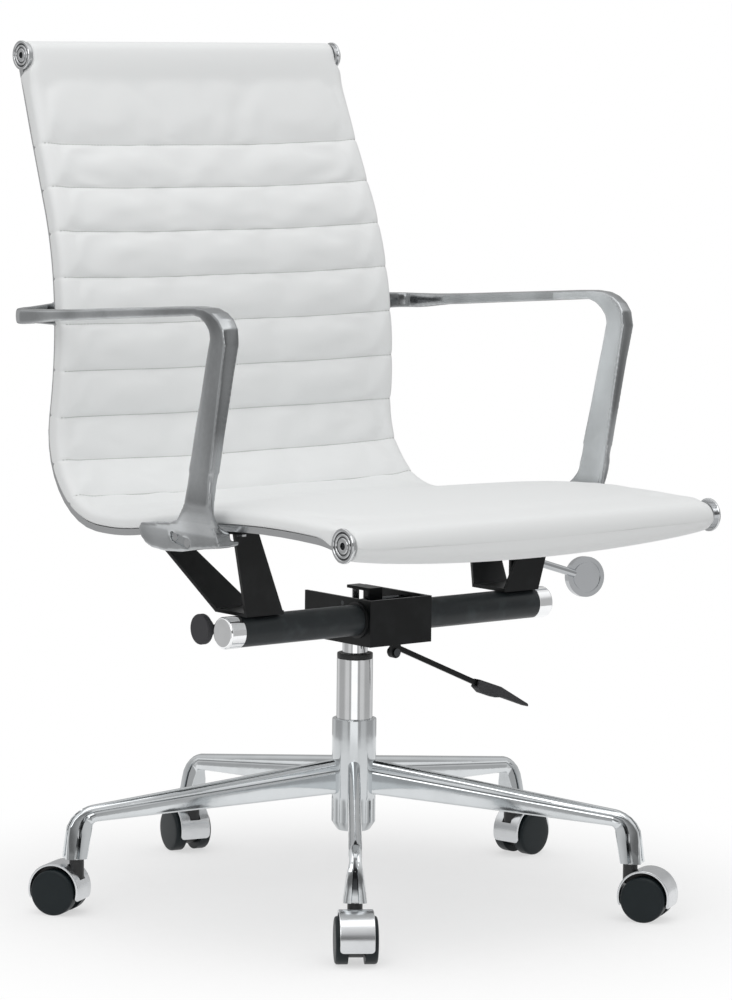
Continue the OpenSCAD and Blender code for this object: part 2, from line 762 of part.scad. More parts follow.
module bracket() {
    difference() {
        union() {
            translate([strap_x, web_front, web_z])
                cube([strap_w, web_rear - web_front, strap_t]);
            strap_leg(web_front, front_top_y, front_leg_in, front_leg_w);
            strap_leg(web_rear, rear_top_y, rear_leg_in, rear_leg_w);
            strap_tab(front_tab_y, front_leg_in, front_leg_w);
            strap_tab(rear_tab_y, rear_leg_in, rear_leg_w);
        }
        translate([web_bolt_x, bar_y, web_z - 1]) cylinder(r = bolt_r + 0.1, h = strap_t + 2);
        for (y = [front_tab_y, rear_tab_y])
            at_tab_bolt(y) translate([0, 0, -strap_t - 1]) cylinder(r = bolt_r + 0.1, h = strap_t + 2);
    }
}
module right_bracket() {
    color(black_steel) difference() {
        union() {
            bracket();
            translate([lock_x - lock_eye_r, lock_lug_y, web_z])
                cube([2 * lock_eye_r, strap_t, lock_z - web_z]);
            y_cyl(lock_eye_r, lock_lug_y, lock_lug_y + strap_t, lock_x, lock_z);
        }
        y_cyl(pin_r + 0.02, lock_lug_y - 1, lock_lug_y + strap_t + 1, lock_x, lock_z);
    }
}
module left_bracket() {
    color(black_steel) mirror([1, 0, 0]) bracket();
}
bolt_head = 3;
module bolt(reach) {
    union() {
        translate([0, 0, -bolt_head]) cylinder(r = bolt_r * 1.8, h = bolt_head, $fn = 6);
        translate([0, 0, -bolt_head]) cylinder(r = bolt_r, h = reach + bolt_head);
    }
}
module bracket_bolts() {
    color(steel) {
        both_sides() {
            translate([web_bolt_x, bar_y, web_z + strap_t])
                rotate([180, 0, 0]) bolt(strap_t + bar_wall + 4);
            for (y = [front_tab_y, rear_tab_y])
                at_tab_bolt(y) translate([0, 0, -strap_t]) bolt(strap_t + rail_t - 1);
        }
        // The lock lever's pivot
        y_cyl(pin_r, lock_lug_y, lock_y + lock_eye_half + 2.5, lock_x, lock_z);
        y_cyl(pin_r + 2, lock_lug_y - 2, lock_lug_y, lock_x, lock_z);
        y_cyl(pin_r + 2, lock_y + lock_eye_half + soft_gap, lock_y + lock_eye_half + 2.5,
              lock_x, lock_z);
    }
}

// ---- Rails, rods and discs ----
rail_end = roll_r + 2;
arm_lug_front = -56;
arm_lug_back = -10;
arm_lug_w = 10;
arm_lug_z = arm_foot_z + 3;
ARM_SCREWS = [[-45, arm_foot_z + 12], [-22, arm_foot_z + 17]];
screw_deep = 8;
spreader_s = back_station(spreader_z);
spreader_at = along(spreader_s);
module at_spreader(d) {
    p = beside(spreader_at, d - 2 * seat_gap);
    translate([0, p[0], p[1]]) rotate([spreader_at[2] - 90, 0, 0]) children();
}
hook_x = side_x(spreader_at[0], spreader_at[1]) - rail_w / 2;
// The fixing of an armrest's rear end: local Y runs back from the rail's rear face
module at_hook() {
    at_spreader(rail_low) translate([hook_x, 0, 0]) children();
}
module hook_bore(y0, y1, r) {
    y_cyl(r, y0, y1, 0, 0);
}
module rail() {
    difference() {
        union() {
            side_slice(0, rail_w)
                across(0, far) polygon(strip(rail_end, path_len - rail_end, rail_low, rail_top));
            side_slice(0, eye_t) across(0, far) {
                polygon(strip(0, rail_end + 2, rail_low, rail_top));
                polygon(strip(path_len - rail_end - 2, path_len, rail_low, rail_top));
            }
            side_slice(0, arm_lug_w) across(0, far)
                polygon([
                    [arm_lug_front, rail_under(arm_lug_front) + 2],
                    [arm_lug_front, arm_lug_z + 5], [arm_lug_back, arm_lug_z],
                    [arm_lug_back, rail_under(arm_lug_back) + 2],
                ]);
            for (p = [START, END]) {
                x = side_x(p[0], p[1]);
                x_cyl(eye_r, x - eye_t, x, p[0], p[1]);
            }
        }
        for (p = [START, END]) {
            x_cyl(rod_r + 0.02, 0, far, p[0], p[1]);
            x_cyl(disc_r + soft_gap, side_x(p[0], p[1]), far, p[0], p[1]);
        }
        for (p = ARM_SCREWS)
            x_cyl(arm_screw_r + 0.05, side_x(p[0], p[1]) - screw_deep, far, p[0], p[1]);
        at_tab_bolt(front_tab_y)
            translate([0, 0, -1]) cylinder(r = bolt_r + 0.05, h = rail_t + 2);
        at_tab_bolt(rear_tab_y)
            translate([0, 0, -1]) cylinder(r = bolt_r + 0.05, h = rail_t + 2);
        at_hook() hook_bore(-rail_t - 1, 1, arm_screw_r + 0.05);
    }
}
module right_rail() {
    color(aluminium) rail();
}
module left_rail() {
    color(aluminium) mirror([1, 0, 0]) rail();
}
end_screw_deep = 22;
module cross_rod(p) {
    x = side_x(p[0], p[1]);
    color(steel) difference() {
        x_cyl(rod_r, -x, x, p[0], p[1]);
        x_cyl(disc_screw_r + 0.05, x - end_screw_deep, x + 1, p[0], p[1]);
        x_cyl(disc_screw_r + 0.05, -x - 1, -x + end_screw_deep, p[0], p[1]);
    }
}
module front_rod() {
    cross_rod(START);
}
module top_rod() {
    cross_rod(END);
}
screw_head_r = disc_screw_r + 3;
screw_head_h = 3;
ring_groove = 0.8;
module end_discs() {
    color(chrome) both_sides() for (p = [START, END]) {
        x = side_x(p[0], p[1]);
        difference() {
            x_cyl(disc_r, x, x + disc_t, p[0], p[1]);
            x_cyl(disc_screw_r + 0.1, x - 1, x + disc_t + 1, p[0], p[1]);
            x_cyl(screw_head_r + 0.1, x + disc_t - screw_head_h, x + disc_t + 1, p[0], p[1]);
            difference() {
                x_cyl(disc_r - 3, x + disc_t - ring_groove, x + disc_t + 1, p[0], p[1]);
                x_cyl(disc_r - 4.5, x, x + disc_t + 2, p[0], p[1]);
            }
        }
    }
}
hex_r = 3;
module end_disc_screws() {
    color(steel) both_sides() for (p = [START, END]) {
        x = side_x(p[0], p[1]);
        difference() {
            union() {
                x_cyl(screw_head_r, x + disc_t - screw_head_h, x + disc_t, p[0], p[1]);
                x_cyl(disc_screw_r, x - end_screw_deep + 2, x + disc_t - eps, p[0], p[1]);
            }
            translate([x + disc_t - 2, p[0], p[1]])
                rotate([0, 90, 0]) cylinder(r = hex_r, h = 3, $fn = 6);
        }
    }
}

// ---- Sling ----
pad_inset = 0.5;
roll_clear = eye_t + soft_gap;
module seat_sling() {
    color(leather_white) difference() {
        union() {
            between_sides(pad_inset)
                across(-far, far) polygon(strip(roll_r, path_len - roll_r, pad_low, pad_top));
            between_sides(roll_clear + 0.6) across(-far, far) {
                polygon(strip(0, roll_r + 2, pad_low, pad_top));
                polygon(strip(path_len - roll_r - 2, path_len, pad_low, pad_top));
                for (p = [START, END]) translate([p[0], p[1]]) circle(roll_r);
            }
        }
        for (p = [START, END]) x_cyl(rod_r + soft_gap, -far, far, p[0], p[1]);
    }
}

// ---- Back spreader ----
module back_spreader() {
    x = side_x(spreader_at[0], spreader_at[1]) - 3;
    color(aluminium) difference() {
        at_spreader(rail_low)
            translate([-x, 0, -spreader_h / 2]) cube([2 * x, spreader_t, spreader_h]);
        both_sides() at_hook() hook_bore(-1, spreader_t + 1, arm_screw_r + 0.05);
    }
}

// ---- Armrests: one side view, one front view and one plan, cut from each other ----
arm_half_w = front_half_w + arm_gap;
arm_top_z = spreader_z + arm_rise;
arm_front_y = -arm_front_reach;
corner_r = 32;
// The bar falls from the front corner to the middle of the wing behind the back
wing_mid = beside(spreader_at, rail_low - spreader_t - arm_section_h / 2);
hook_y = wing_mid[0] + arm_section_h / 2 - arm_hook_r;
bar_front_y = arm_front_y + corner_r + 25;
bar_front_z = arm_top_z - arm_section_h / 2;
bar_flare = 60;
flare_y = hook_y - bar_flare;
flare_z = bar_front_z + (wing_mid[1] - bar_front_z) * (flare_y - bar_front_y) / (hook_y - bar_front_y);
flare_half = arm_section_h / 2 + 1;
hook_half = arm_hook_h / 2 + 0.3;
module arm_side() {
    difference() {
        polygon([
            [-knee_reach, knee_z], [arm_front_y, arm_top_z - corner_r], [arm_front_y, arm_top_z],
            [bar_front_y, arm_top_z], [flare_y, flare_z + flare_half],
            [hook_y + 0.5, wing_mid[1] + hook_half], [hook_y + 0.5, wing_mid[1] - hook_half],
            [flare_y, flare_z - flare_half], [bar_front_y, arm_top_z - arm_section_h],
            [arm_front_y + upright_top_d + 12, arm_top_z - arm_section_h - 6],
            [arm_front_y + upright_top_d + 2, arm_top_z - arm_section_h - 20],
            [knee_d - knee_reach, knee_z], [knee_d - knee_reach + 10, knee_z - 11],
            [knee_d - knee_reach + 24, arm_foot_z + 38], [knee_d - knee_reach + 38, arm_foot_z + 33],
            [arm_foot_back - 6, arm_foot_z + 27], [arm_foot_back - 1, arm_foot_z + 24],
            [arm_foot_back + 1, arm_foot_z + 18], [arm_foot_back - 1, arm_foot_z + 11],
            [arm_foot_back - 9, arm_foot_z + 4], [arm_foot_back - 20, arm_foot_z + 0.5],
            [-5, arm_foot_z - 0.5], [-33, arm_foot_z + 1.5], [-65, arm_foot_z + 7],
            [-knee_reach, arm_foot_z + 12], [-knee_reach + 3, arm_foot_z + 30],
        ]);
        difference() {
            translate([arm_front_y - 1, arm_top_z - corner_r]) square([corner_r + 1, corner_r + 1]);
            translate([arm_front_y + corner_r, arm_top_z - corner_r]) circle(corner_r);
        }
    }
}
knee_out = arm_half_w - knee_in;
module arm_front() {
    polygon([
        [knee_out - 17, arm_foot_z - 5], [knee_out - 15, arm_foot_z + 14],
        [knee_out - 13, arm_foot_z + 24], [knee_out - 9, arm_foot_z + 34],
        [knee_out - 4, knee_z - 14], [knee_out, knee_z],
        [arm_half_w, arm_top_z - corner_r], [arm_half_w, arm_top_z + 1],
        [arm_half_w - arm_section_w, arm_top_z + 1],
        [arm_half_w - arm_section_w, arm_top_z - corner_r],
        [knee_out - knee_w, knee_z], [knee_out - knee_w - 1, knee_z - 11],
        [knee_out - knee_w - 4.5, knee_z - 19], [knee_out - knee_w - 13, knee_z - 29],
        [knee_out - knee_w - 22, knee_z - 32.5], [0, knee_z - 32.5], [0, arm_foot_z - 5],
    ]);
}
module arm_plan() {
    polygon([
        [0, arm_front_y - 1], [arm_half_w + 1, arm_front_y - 1], [arm_half_w + 1, hook_y + 1],
        [arm_half_w - arm_section_h - 0.4, hook_y + 1], [arm_half_w - arm_section_w, flare_y],
        [arm_half_w - arm_section_w, arm_foot_back + 5], [knee_out - 22, arm_foot_back + 5],
        [knee_out - 18, 0], [knee_out - 10, -40], [knee_out - 14, -40], [0, -40],
    ]);
    polygon([
        [0, -50], [knee_out - 10, -40], [knee_out - 18, 0],
        [knee_out - 22, arm_foot_back + 5], [0, arm_foot_back + 5],
    ]);
}
module wing() {
    at_spreader(rail_low - spreader_t)
        rotate([90, 0, 0]) translate([0, 0, -arm_section_h]) linear_extrude(arm_section_h)
            polygon([
                [hook_x - 9, -arm_wing_h / 2], [hook_x - 9, arm_wing_h / 2],
                [arm_half_w - arm_hook_r + 1, arm_hook_h / 2],
                [arm_half_w - arm_hook_r + 1, -arm_hook_h / 2],
            ]);
}
flange_t = 6;
flange_w = 10;
flange_d = 40;
module foot_flange() {
    side_slice(-1, flange_w + 1) across(0, far)
        polygon([
            [-knee_reach + 1, arm_foot_z + 12.5], [-knee_reach + flange_d, arm_foot_z + 8],
            [-knee_reach + flange_d, arm_foot_z + 8 + flange_t],
            [-knee_reach + 1, arm_foot_z + 12.5 + flange_t],
        ]);
}
screw_head_d = 3;
module arm() {
    difference() {
        union() {
            difference() {
                intersection() {
                    across(0, far) arm_side();
                    rotate([90, 0, 0]) translate([0, 0, -far]) linear_extrude(2 * far) arm_front();
                    linear_extrude(2 * far) arm_plan();
                }
                side_block(-0.05);
            }
            translate([arm_half_w - arm_hook_r, hook_y, wing_mid[1]])
                rotate_extrude(angle = 90)
                    translate([arm_hook_r - arm_section_h, -arm_hook_h / 2])
                        square([arm_section_h - 0.2, arm_hook_h]);
            wing();
            foot_flange();
        }
        for (p = ARM_SCREWS) {
            x_cyl(arm_screw_r + 0.1, 0, far, p[0], p[1]);
            x_cyl(2 * arm_screw_r + 0.1, side_x(p[0], p[1]) + arm_foot_t - screw_head_d - 1, far,
                  p[0], p[1]);
        }
        at_hook() hook_bore(spreader_t - 1, spreader_t + arm_section_h + 1, arm_screw_r + 0.1);
        at_hook() hook_bore(spreader_t + arm_section_h - screw_head_d, spreader_t + arm_section_h + 1,
                            2 * arm_screw_r + 0.1);
    }
}
module right_armrest() {
    color(aluminium) arm();
}
module left_armrest() {
    color(aluminium) mirror([1, 0, 0]) arm();
}
module armrest_screws() {
    color(steel) both_sides() {
        for (p = ARM_SCREWS) {
            x = side_x(p[0], p[1]) + arm_foot_t - screw_head_d - 1;
            x_cyl(arm_screw_r, side_x(p[0], p[1]) - screw_deep + 0.5, x + 1, p[0], p[1]);
            x_cyl(2 * arm_screw_r, x, x + screw_head_d, p[0], p[1]);
        }
        at_hook() hook_bore(-rail_t + 1, spreader_t + arm_section_h - 1, arm_screw_r);
        at_hook() hook_bore(spreader_t + arm_section_h - screw_head_d, spreader_t + arm_section_h,
                            2 * arm_screw_r);
    }
}

// ---- Lock lever ----
module at_lock() {
    translate([lock_x, lock_y, lock_z]) rotate([0, lock_droop, 0]) children();
}
module lock_lever() {
    color(chrome) difference() {
        at_lock() union() {
            y_cyl(lock_eye_r, -lock_eye_half, lock_eye_half, 0, 0);
            x_cyl(lock_rod_r, 0, lock_len - lock_disc_r + 6, 0, 0);
        }
        at_lock() y_cyl(pin_r + run_gap, -lock_eye_half - 1, lock_eye_half + 1, 0, 0);
    }
}
lock_groove = 1;
module lock_disc() {
    color(chrome) difference() {
        at_lock() translate([lock_len, 0, 0])
            rotate([0, 0, -lock_disc_turn]) difference() {
                y_cyl(lock_disc_r, -lock_disc_t / 2, lock_disc_t / 2, 0, 0);
                difference() {
                    y_cyl(lock_disc_r - 5, -lock_disc_t, -lock_disc_t / 2 + lock_groove, 0, 0);
                    y_cyl(lock_disc_r - 7, -lock_disc_t - 1, lock_disc_t, 0, 0);
                }
            }
        at_lock() x_cyl(lock_rod_r + 0.02, 0, lock_len - lock_disc_r + 6.05, 0, 0);
    }
}

// ---- Casters: drawn with the stem on the Z axis and the wheels trailing along +X ----
CASTER_TURN = [-125, -58, 9.5, 78, 122];
module at_caster(i) {
    a = -90 + base_turn + i * arm_step;
    translate([star_r * cos(a), star_r * sin(a), 0]) rotate([0, 0, CASTER_TURN[i]]) children();
}
hood_in_r = hood_r - hood_t;
hood_droop = 9;
// The hood sits a little above the wheels' axle
hood_z = wheel_r + 2.2;
notch_half = neck_r + 1;
notch_z = 39.5;
module caster_hood(i) {
    color(chrome) at_caster(i) difference() {
        y_cyl(hood_r, -hood_half_w, hood_half_w, trail, hood_z);
        y_cyl(hood_in_r, -hood_half_w - 1, hood_half_w + 1, trail, hood_z);
        translate([trail - far / 2, -far / 2, -far]) cube([far, far, far + wheel_r - hood_droop]);
        translate([-far, -notch_half, notch_z]) cube([far + notch_half, 2 * notch_half, far]);
    }
}
core_gap = 0.8;
core_half = caster_half_w - wheel_w - core_gap;
core_low_r = 18;
module caster_body(i) {
    color(black_plastic) at_caster(i) difference() {
        union() {
            intersection() {
                y_cyl(hood_in_r - 0.02, -core_half, core_half, trail, hood_z);
                translate([0, -far / 2, hood_z]) cube([far, far, far]);
            }
            y_cyl(core_low_r, -core_half, core_half, trail, wheel_r);
            translate([0, 0, notch_z]) cylinder(r = neck_r, h = neck_top - notch_z);
        }
        translate([0, 0, notch_z - 1]) cylinder(r = stem_r + 0.02, h = neck_top);
        y_cyl(axle_r + 0.02, -core_half - 1, core_half + 1, trail, wheel_r);
    }
}
axle_deep = 10;
module caster_pins(i) {
    color(steel) at_caster(i) {
        translate([0, 0, notch_z]) cylinder(r = stem_r, h = neck_top + stem_len - notch_z);
        y_cyl(axle_r, -core_half - core_gap - axle_deep + 0.5, core_half + core_gap + axle_deep - 0.5,
              trail, wheel_r);
    }
}
wheel_round = 3;
module caster_wheel(i, side) {
    color(black_plastic) at_caster(i) translate([trail, 0, wheel_r])
        rotate([side * -90, 0, 0]) difference() {
            union() {
                translate([0, 0, caster_half_w - wheel_w])
                    cylinder(r = wheel_r, h = wheel_w - wheel_round);
                translate([0, 0, caster_half_w - wheel_round])
                    cylinder(r1 = wheel_r, r2 = wheel_r - wheel_round, h = wheel_round);
            }
            translate([0, 0, caster_half_w - wheel_w - 1])
                cylinder(r = axle_r + run_gap, h = axle_deep + 1);
        }
}

star_base();
column_tube();
guide_sleeve();
thrust_bearing();
piston_rod();
gas_cylinder();
release_button();
tilt_housing();
crossbar_bushes();
release_plate();
release_pin();
height_lever();
lever_paddle();
lever_pin();
tension_rod();
tension_knob();
crossbar_tube();
crossbar_caps();
torsion_bar();
left_bracket();
right_bracket();
bracket_bolts();
left_rail();
right_rail();
front_rod();
top_rod();
end_discs();
end_disc_screws();
seat_sling();
left_armrest();
right_armrest();
armrest_screws();
back_spreader();
lock_lever();
lock_disc();
caster_hood(0);  // caster_1_hood
caster_body(0);  // caster_1_body
caster_pins(0);  // caster_1_pins
caster_wheel(0, -1);  // caster_1_wheel_a
caster_wheel(0, 1);  // caster_1_wheel_b
caster_hood(1);  // caster_2_hood
caster_body(1);  // caster_2_body
caster_pins(1);  // caster_2_pins
caster_wheel(1, -1);  // caster_2_wheel_a
caster_wheel(1, 1);  // caster_2_wheel_b
caster_hood(2);  // caster_3_hood
caster_body(2);  // caster_3_body
caster_pins(2);  // caster_3_pins
caster_wheel(2, -1);  // caster_3_wheel_a
caster_wheel(2, 1);  // caster_3_wheel_b
caster_hood(3);  // caster_4_hood
caster_body(3);  // caster_4_body
caster_pins(3);  // caster_4_pins
caster_wheel(3, -1);  // caster_4_wheel_a
caster_wheel(3, 1);  // caster_4_wheel_b
caster_hood(4);  // caster_5_hood
caster_body(4);  // caster_5_body
caster_pins(4);  // caster_5_pins
caster_wheel(4, -1);  // caster_5_wheel_a
caster_wheel(4, 1);  // caster_5_wheel_b
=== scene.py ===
"""Looks of a swivel office chair: a ribbed leather sling on a polished frame, column and star base.

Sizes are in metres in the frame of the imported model. The sitter faces -Y, +Z is up, and the
origin is on the floor under the column's axis.
"""

import json
import logging
import math
from contextlib import contextmanager
from dataclasses import dataclass, field
from enum import Enum
from functools import cached_property
from typing import ClassVar, Iterator, Sequence

import bmesh
import bpy
import numpy as np
from mathutils import Euler, Matrix, Vector
from mathutils.bvhtree import BVHTree


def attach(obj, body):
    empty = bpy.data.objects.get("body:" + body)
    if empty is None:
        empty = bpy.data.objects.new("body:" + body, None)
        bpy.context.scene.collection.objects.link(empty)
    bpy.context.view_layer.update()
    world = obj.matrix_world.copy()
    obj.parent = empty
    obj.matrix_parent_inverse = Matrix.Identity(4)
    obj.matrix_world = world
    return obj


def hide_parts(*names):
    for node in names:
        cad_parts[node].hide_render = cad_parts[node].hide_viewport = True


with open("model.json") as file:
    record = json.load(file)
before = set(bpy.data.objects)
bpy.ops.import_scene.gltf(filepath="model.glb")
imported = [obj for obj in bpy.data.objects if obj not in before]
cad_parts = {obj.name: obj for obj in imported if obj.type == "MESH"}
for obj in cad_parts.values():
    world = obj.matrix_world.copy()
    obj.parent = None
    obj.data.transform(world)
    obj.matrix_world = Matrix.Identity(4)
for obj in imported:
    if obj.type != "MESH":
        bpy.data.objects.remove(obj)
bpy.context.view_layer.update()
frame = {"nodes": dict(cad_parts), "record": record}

MM = 0.001
CASTERS = range(1, 6)
Color = tuple[float, float, float]
Corner = tuple[float, float, float]
log = logging.getLogger("office_chair")


class Slot(Enum):
    """Material slots of the record that the pieces take their finishes from."""

    BASE = "polished_base"
    COLUMN = "column_chrome"
    GUIDE = "guide_plastic"
    STEEL = "bright_steel"
    PAINT = "black_paint"
    GRIP = "black_grip"
    TRIM = "trim_chrome"
    ALUMINIUM = "satin_aluminium"
    LEATHER = "white_leather"
    HOOD = "hood_chrome"
    CASTER = "caster_plastic"
    WHEEL = "wheel_plastic"


# ---- Shader graphs ----


class Value:
    """One output socket of a shader graph, usable in arithmetic."""

    def __init__(self, graph: "Graph", socket: bpy.types.NodeSocket) -> None:
        """Keeps the output socket and the graph that it belongs to."""
        self.graph = graph
        self.socket = socket

    def math(self, operation: str, *others: "Value | float") -> "Value":
        """Adds a Math node with this value as its first input."""
        return self.graph.calc(operation, self, *others)

    def __add__(self, other: "Value | float") -> "Value":
        """Sum."""
        return self.math("ADD", other)

    def __radd__(self, other: float) -> "Value":
        """Sum with a number on the left."""
        return self.math("ADD", other)

    def __sub__(self, other: "Value | float") -> "Value":
        """Difference."""
        return self.math("SUBTRACT", other)

    def __rsub__(self, other: float) -> "Value":
        """A number less this value."""
        return self.graph.calc("SUBTRACT", other, self)

    def __mul__(self, other: "Value | float") -> "Value":
        """Product."""
        return self.math("MULTIPLY", other)

    def __rmul__(self, other: float) -> "Value":
        """Product with a number on the left."""
        return self.math("MULTIPLY", other)

    def __pow__(self, other: float) -> "Value":
        """Power."""
        return self.math("POWER", other)

    def band(self, low: float, high: float) -> "Value":
        """Rises smoothly from 0 at low to 1 at high."""
        ends = {"Value": self, "From Min": low, "From Max": high}
        node = self.graph.node("ShaderNodeMapRange", {"interpolation_type": "SMOOTHSTEP"}, ends)
        return Value(self.graph, node.outputs["Result"])


class Graph:
    """The nodes of one material or of the world."""

    def __init__(self, tree: bpy.types.NodeTree) -> None:
        """Keeps the tree and empties it."""
        self.tree = tree
        tree.nodes.clear()

    def node(self, kind: str, settings: dict | None = None, links: dict | None = None) -> bpy.types.Node:
        """Adds one node.

        Args:
            kind: type name of the node.
            settings: attributes of the node, set first.
            links: values, or sockets to join, by input name or number.

        Returns:
            The new node.
        """
        made = self.tree.nodes.new(kind)
        for name, value in (settings or {}).items():
            setattr(made, name, value)
        for name, value in (links or {}).items():
            self.join(value, made.inputs[name])
        return made

    def join(self, value: object, target: bpy.types.NodeSocket) -> None:
        """Links a value or socket to an input, or sets the input.

        Args:
            value: a value, a socket, a number or a colour.
            target: the input.
        """
        if isinstance(value, Value):
            value = value.socket
        if isinstance(value, bpy.types.NodeSocket):
            self.tree.links.new(value, target)
        else:
            target.default_value = value

    def calc(self, operation: str, *inputs: Value | float) -> Value:
        """Adds a Math node with values or plain numbers as inputs."""
        node = self.node("ShaderNodeMath", {"operation": operation}, dict(enumerate(inputs)))
        return Value(self, node.outputs[0])

    def coords(self) -> bpy.types.NodeSocket:
        """The Object coordinates of the surface."""
        return self.node("ShaderNodeTexCoord").outputs["Object"]

    def axis(self, vector: bpy.types.NodeSocket, name: str) -> Value:
        """The X, Y or Z of a vector."""
        return Value(self, self.node("ShaderNodeSeparateXYZ", {}, {0: vector}).outputs[name])

    def noise(self, scale: float, detail: float = 2.0, stretch: Sequence[float] = (1, 1, 1)) -> Value:
        """Smooth noise on the Object coordinates.

        Args:
            scale: number of cells in a metre.
            detail: octaves of finer noise.
            stretch: scale factors along X, Y and Z.

        Returns:
            The noise, between 0 and 1.
        """
        place = self.node("ShaderNodeMapping", {}, {"Vector": self.coords(), "Scale": tuple(stretch)})
        inputs = {"Vector": place.outputs[0], "Scale": scale, "Detail": detail, "Roughness": 0.55}
        return Value(self, self.node("ShaderNodeTexNoise", {}, inputs).outputs[0])

    def cells(self, scale: float) -> Value:
        """Distance to the middles of rounded cells, for a pebbled grain with that many cells in a metre."""
        inputs = {"Vector": self.coords(), "Scale": scale, "Smoothness": 0.4, "Randomness": 0.9}
        node = self.node("ShaderNodeTexVoronoi", {"feature": "SMOOTH_F1"}, inputs)
        return Value(self, node.outputs["Distance"])

    def tint(
        self, factor: Value, low: Color | bpy.types.NodeSocket, high: Color | bpy.types.NodeSocket
    ) -> bpy.types.NodeSocket:
        """Mixes two colours.

        Args:
            factor: 0 for the first colour, 1 for the second.
            low: the first colour, or its socket.
            high: the second colour, or its socket.

        Returns:
            The socket of the mixed colour.
        """
        ends = [(*end, 1.0) if isinstance(end, tuple) else end for end in (low, high)]
        node = self.node("ShaderNodeMix", {"data_type": "RGBA"}, {0: factor, 6: ends[0], 7: ends[1]})
        return node.outputs[2]

    def attribute(self, name: str) -> Value:
        """A number stored on the mesh."""
        return Value(self, self.node("ShaderNodeAttribute", {"attribute_name": name}).outputs["Fac"])

    def bump(self, height: Value, distance: float, strength: float = 1.0) -> bpy.types.NodeSocket:
        """Turns a height into a normal.

        Args:
            height: the height, 0 to 1.
            distance: depth of the relief in metres.
            strength: share of the relief that shows.

        Returns:
            The normal's socket.
        """
        inputs = {"Height": height, "Distance": distance, "Strength": strength}
        return self.node("ShaderNodeBump", {}, inputs).outputs[0]


def srgb(*parts: int) -> Color:
    """Turns a display colour, with red, green and blue from 0 to 255, into a linear one."""
    shares = [part / 255 for part in parts]
    return tuple(share / 12.92 if share <= 0.04045 else ((share + 0.055) / 1.055) ** 2.4 for share in shares)


@dataclass(frozen=True)
class Finish:
    """A surface finish. Each kind paints one Principled surface."""

    name: str
    color: Color

    def material(self) -> bpy.types.Material:
        """Makes the finish's material, once.

        Returns:
            The material.
        """
        made = bpy.data.materials.get(self.name)
        if made is None:
            made = bpy.data.materials.new(self.name)
            made.use_nodes = True
            graph = Graph(made.node_tree)
            shader = graph.node("ShaderNodeBsdfPrincipled")
            for name, value in self.paint(graph).items():
                graph.join(value, shader.inputs[name.replace("_", " ")])
            graph.node("ShaderNodeOutputMaterial", {}, {"Surface": shader.outputs[0]})
        return made

    def paint(self, graph: Graph) -> dict[str, object]:
        """Draws the finish's pattern.

        Args:
            graph: the material's graph.

        Returns:
            What goes into each input of the shader, with _ for a space in their names.
        """
        raise NotImplementedError

    def scaled(self, factor: float, lift: float = 0.0) -> Color:
        """The finish's colour times a factor, plus a lift."""
        return tuple(factor * part + lift for part in self.color)


@dataclass(frozen=True)
class PolishedMetal(Finish):
    """Chrome or buffed aluminium with faint polishing haze."""

    roughness: float = 0.08
    haze: float = 0.05
    # Whether the mesh's recess numbers paint shade into the piece's slots, creases and grooves
    recess: bool = False
    RECESS_SHADE_COLOR: ClassVar[Color] = (0.03, 0.033, 0.036)
    WAVE: ClassVar[float] = 0.04 * MM

    def paint(self, graph: Graph) -> dict[str, object]:
        """Varies tint and gloss with two sizes of cloud, adds a slight waviness, and paints shade into
        recesses where asked.
        """
        dull = graph.noise(22, 3).band(0.35, 0.75)
        fine = graph.noise(420, 2)
        base = graph.tint(dull, self.color, self.scaled(0.93))
        # Painted shade: the metal turns near black where the mesh stores recess numbers
        if self.recess:
            base = graph.tint(graph.attribute("recess"), base, self.RECESS_SHADE_COLOR)
        return dict(
            Base_Color=base,
            Metallic=1.0,
            Roughness=self.roughness + self.haze * dull * (0.6 + 0.8 * fine),
            Normal=graph.bump(graph.noise(60, 1), self.WAVE),
        )


@dataclass(frozen=True)
class BrushedMetal(Finish):
    """Satin aluminium with fine rubbing lines."""

    roughness: float = 0.2

    def paint(self, graph: Graph) -> dict[str, object]:
        """Draws the lines with a stretched noise, and paints shade and reflected light into the metal by what
        the mesh stores.
        """
        hair = graph.noise(2600, 2, (1.0, 0.06, 0.06))
        cloud = graph.noise(30, 2)
        burnish = graph.noise(11, 1, (1.0, 1.0, 0.5)).band(0.36, 0.64)
        level = burnish * 0.6 + cloud * 0.3 + hair * 0.2
        rubbed = graph.tint(level, self.scaled(0.6), self.scaled(1.22))
        # The mesh's hollow numbers are painted shade, and painted light where they are below 0
        light = 1 - graph.attribute("hollow")
        shaded = graph.node("ShaderNodeVectorMath", {"operation": "SCALE"}, {0: rubbed, "Scale": light})
        return dict(
            Base_Color=shaded.outputs[0],
            Metallic=1.0,
            Roughness=self.roughness + 0.07 * hair + 0.04 * cloud,
            Normal=graph.bump(hair, 0.01 * MM),
        )


@dataclass(frozen=True)
class BlackPaint(Finish):
    """Satin black stoving enamel with orange peel and rubbed lighter clouds."""

    roughness: float = 0.36

    def paint(self, graph: Graph) -> dict[str, object]:
        """Adds orange peel relief and a slight change of gloss."""
        peel = graph.noise(900, 2)
        cloud = graph.noise(35, 3)
        return dict(
            Base_Color=graph.tint(cloud.band(0.45, 0.8), self.color, self.scaled(1.8, 0.002)),
            Roughness=self.roughness + 0.12 * cloud,
            Specular_IOR_Level=0.28,
            Normal=graph.bump(peel, 0.06 * MM),
        )


@dataclass(frozen=True)
class MouldedPlastic(Finish):
    """Injection-moulded plastic with a spark-eroded grain."""

    roughness: float = 0.45
    grain: float = 1500.0
    gloss: float = 0.5

    def paint(self, graph: Graph) -> dict[str, object]:
        """Adds the grain and a faint mottling."""
        grain = graph.noise(self.grain, 2)
        cloud = graph.noise(45, 2)
        return dict(
            Base_Color=graph.tint(cloud, self.color, self.scaled(1.25, 0.002)),
            Roughness=self.roughness + 0.1 * cloud - 0.05 * grain,
            Specular_IOR_Level=self.gloss,
            Normal=graph.bump(grain, 0.05 * MM),
        )


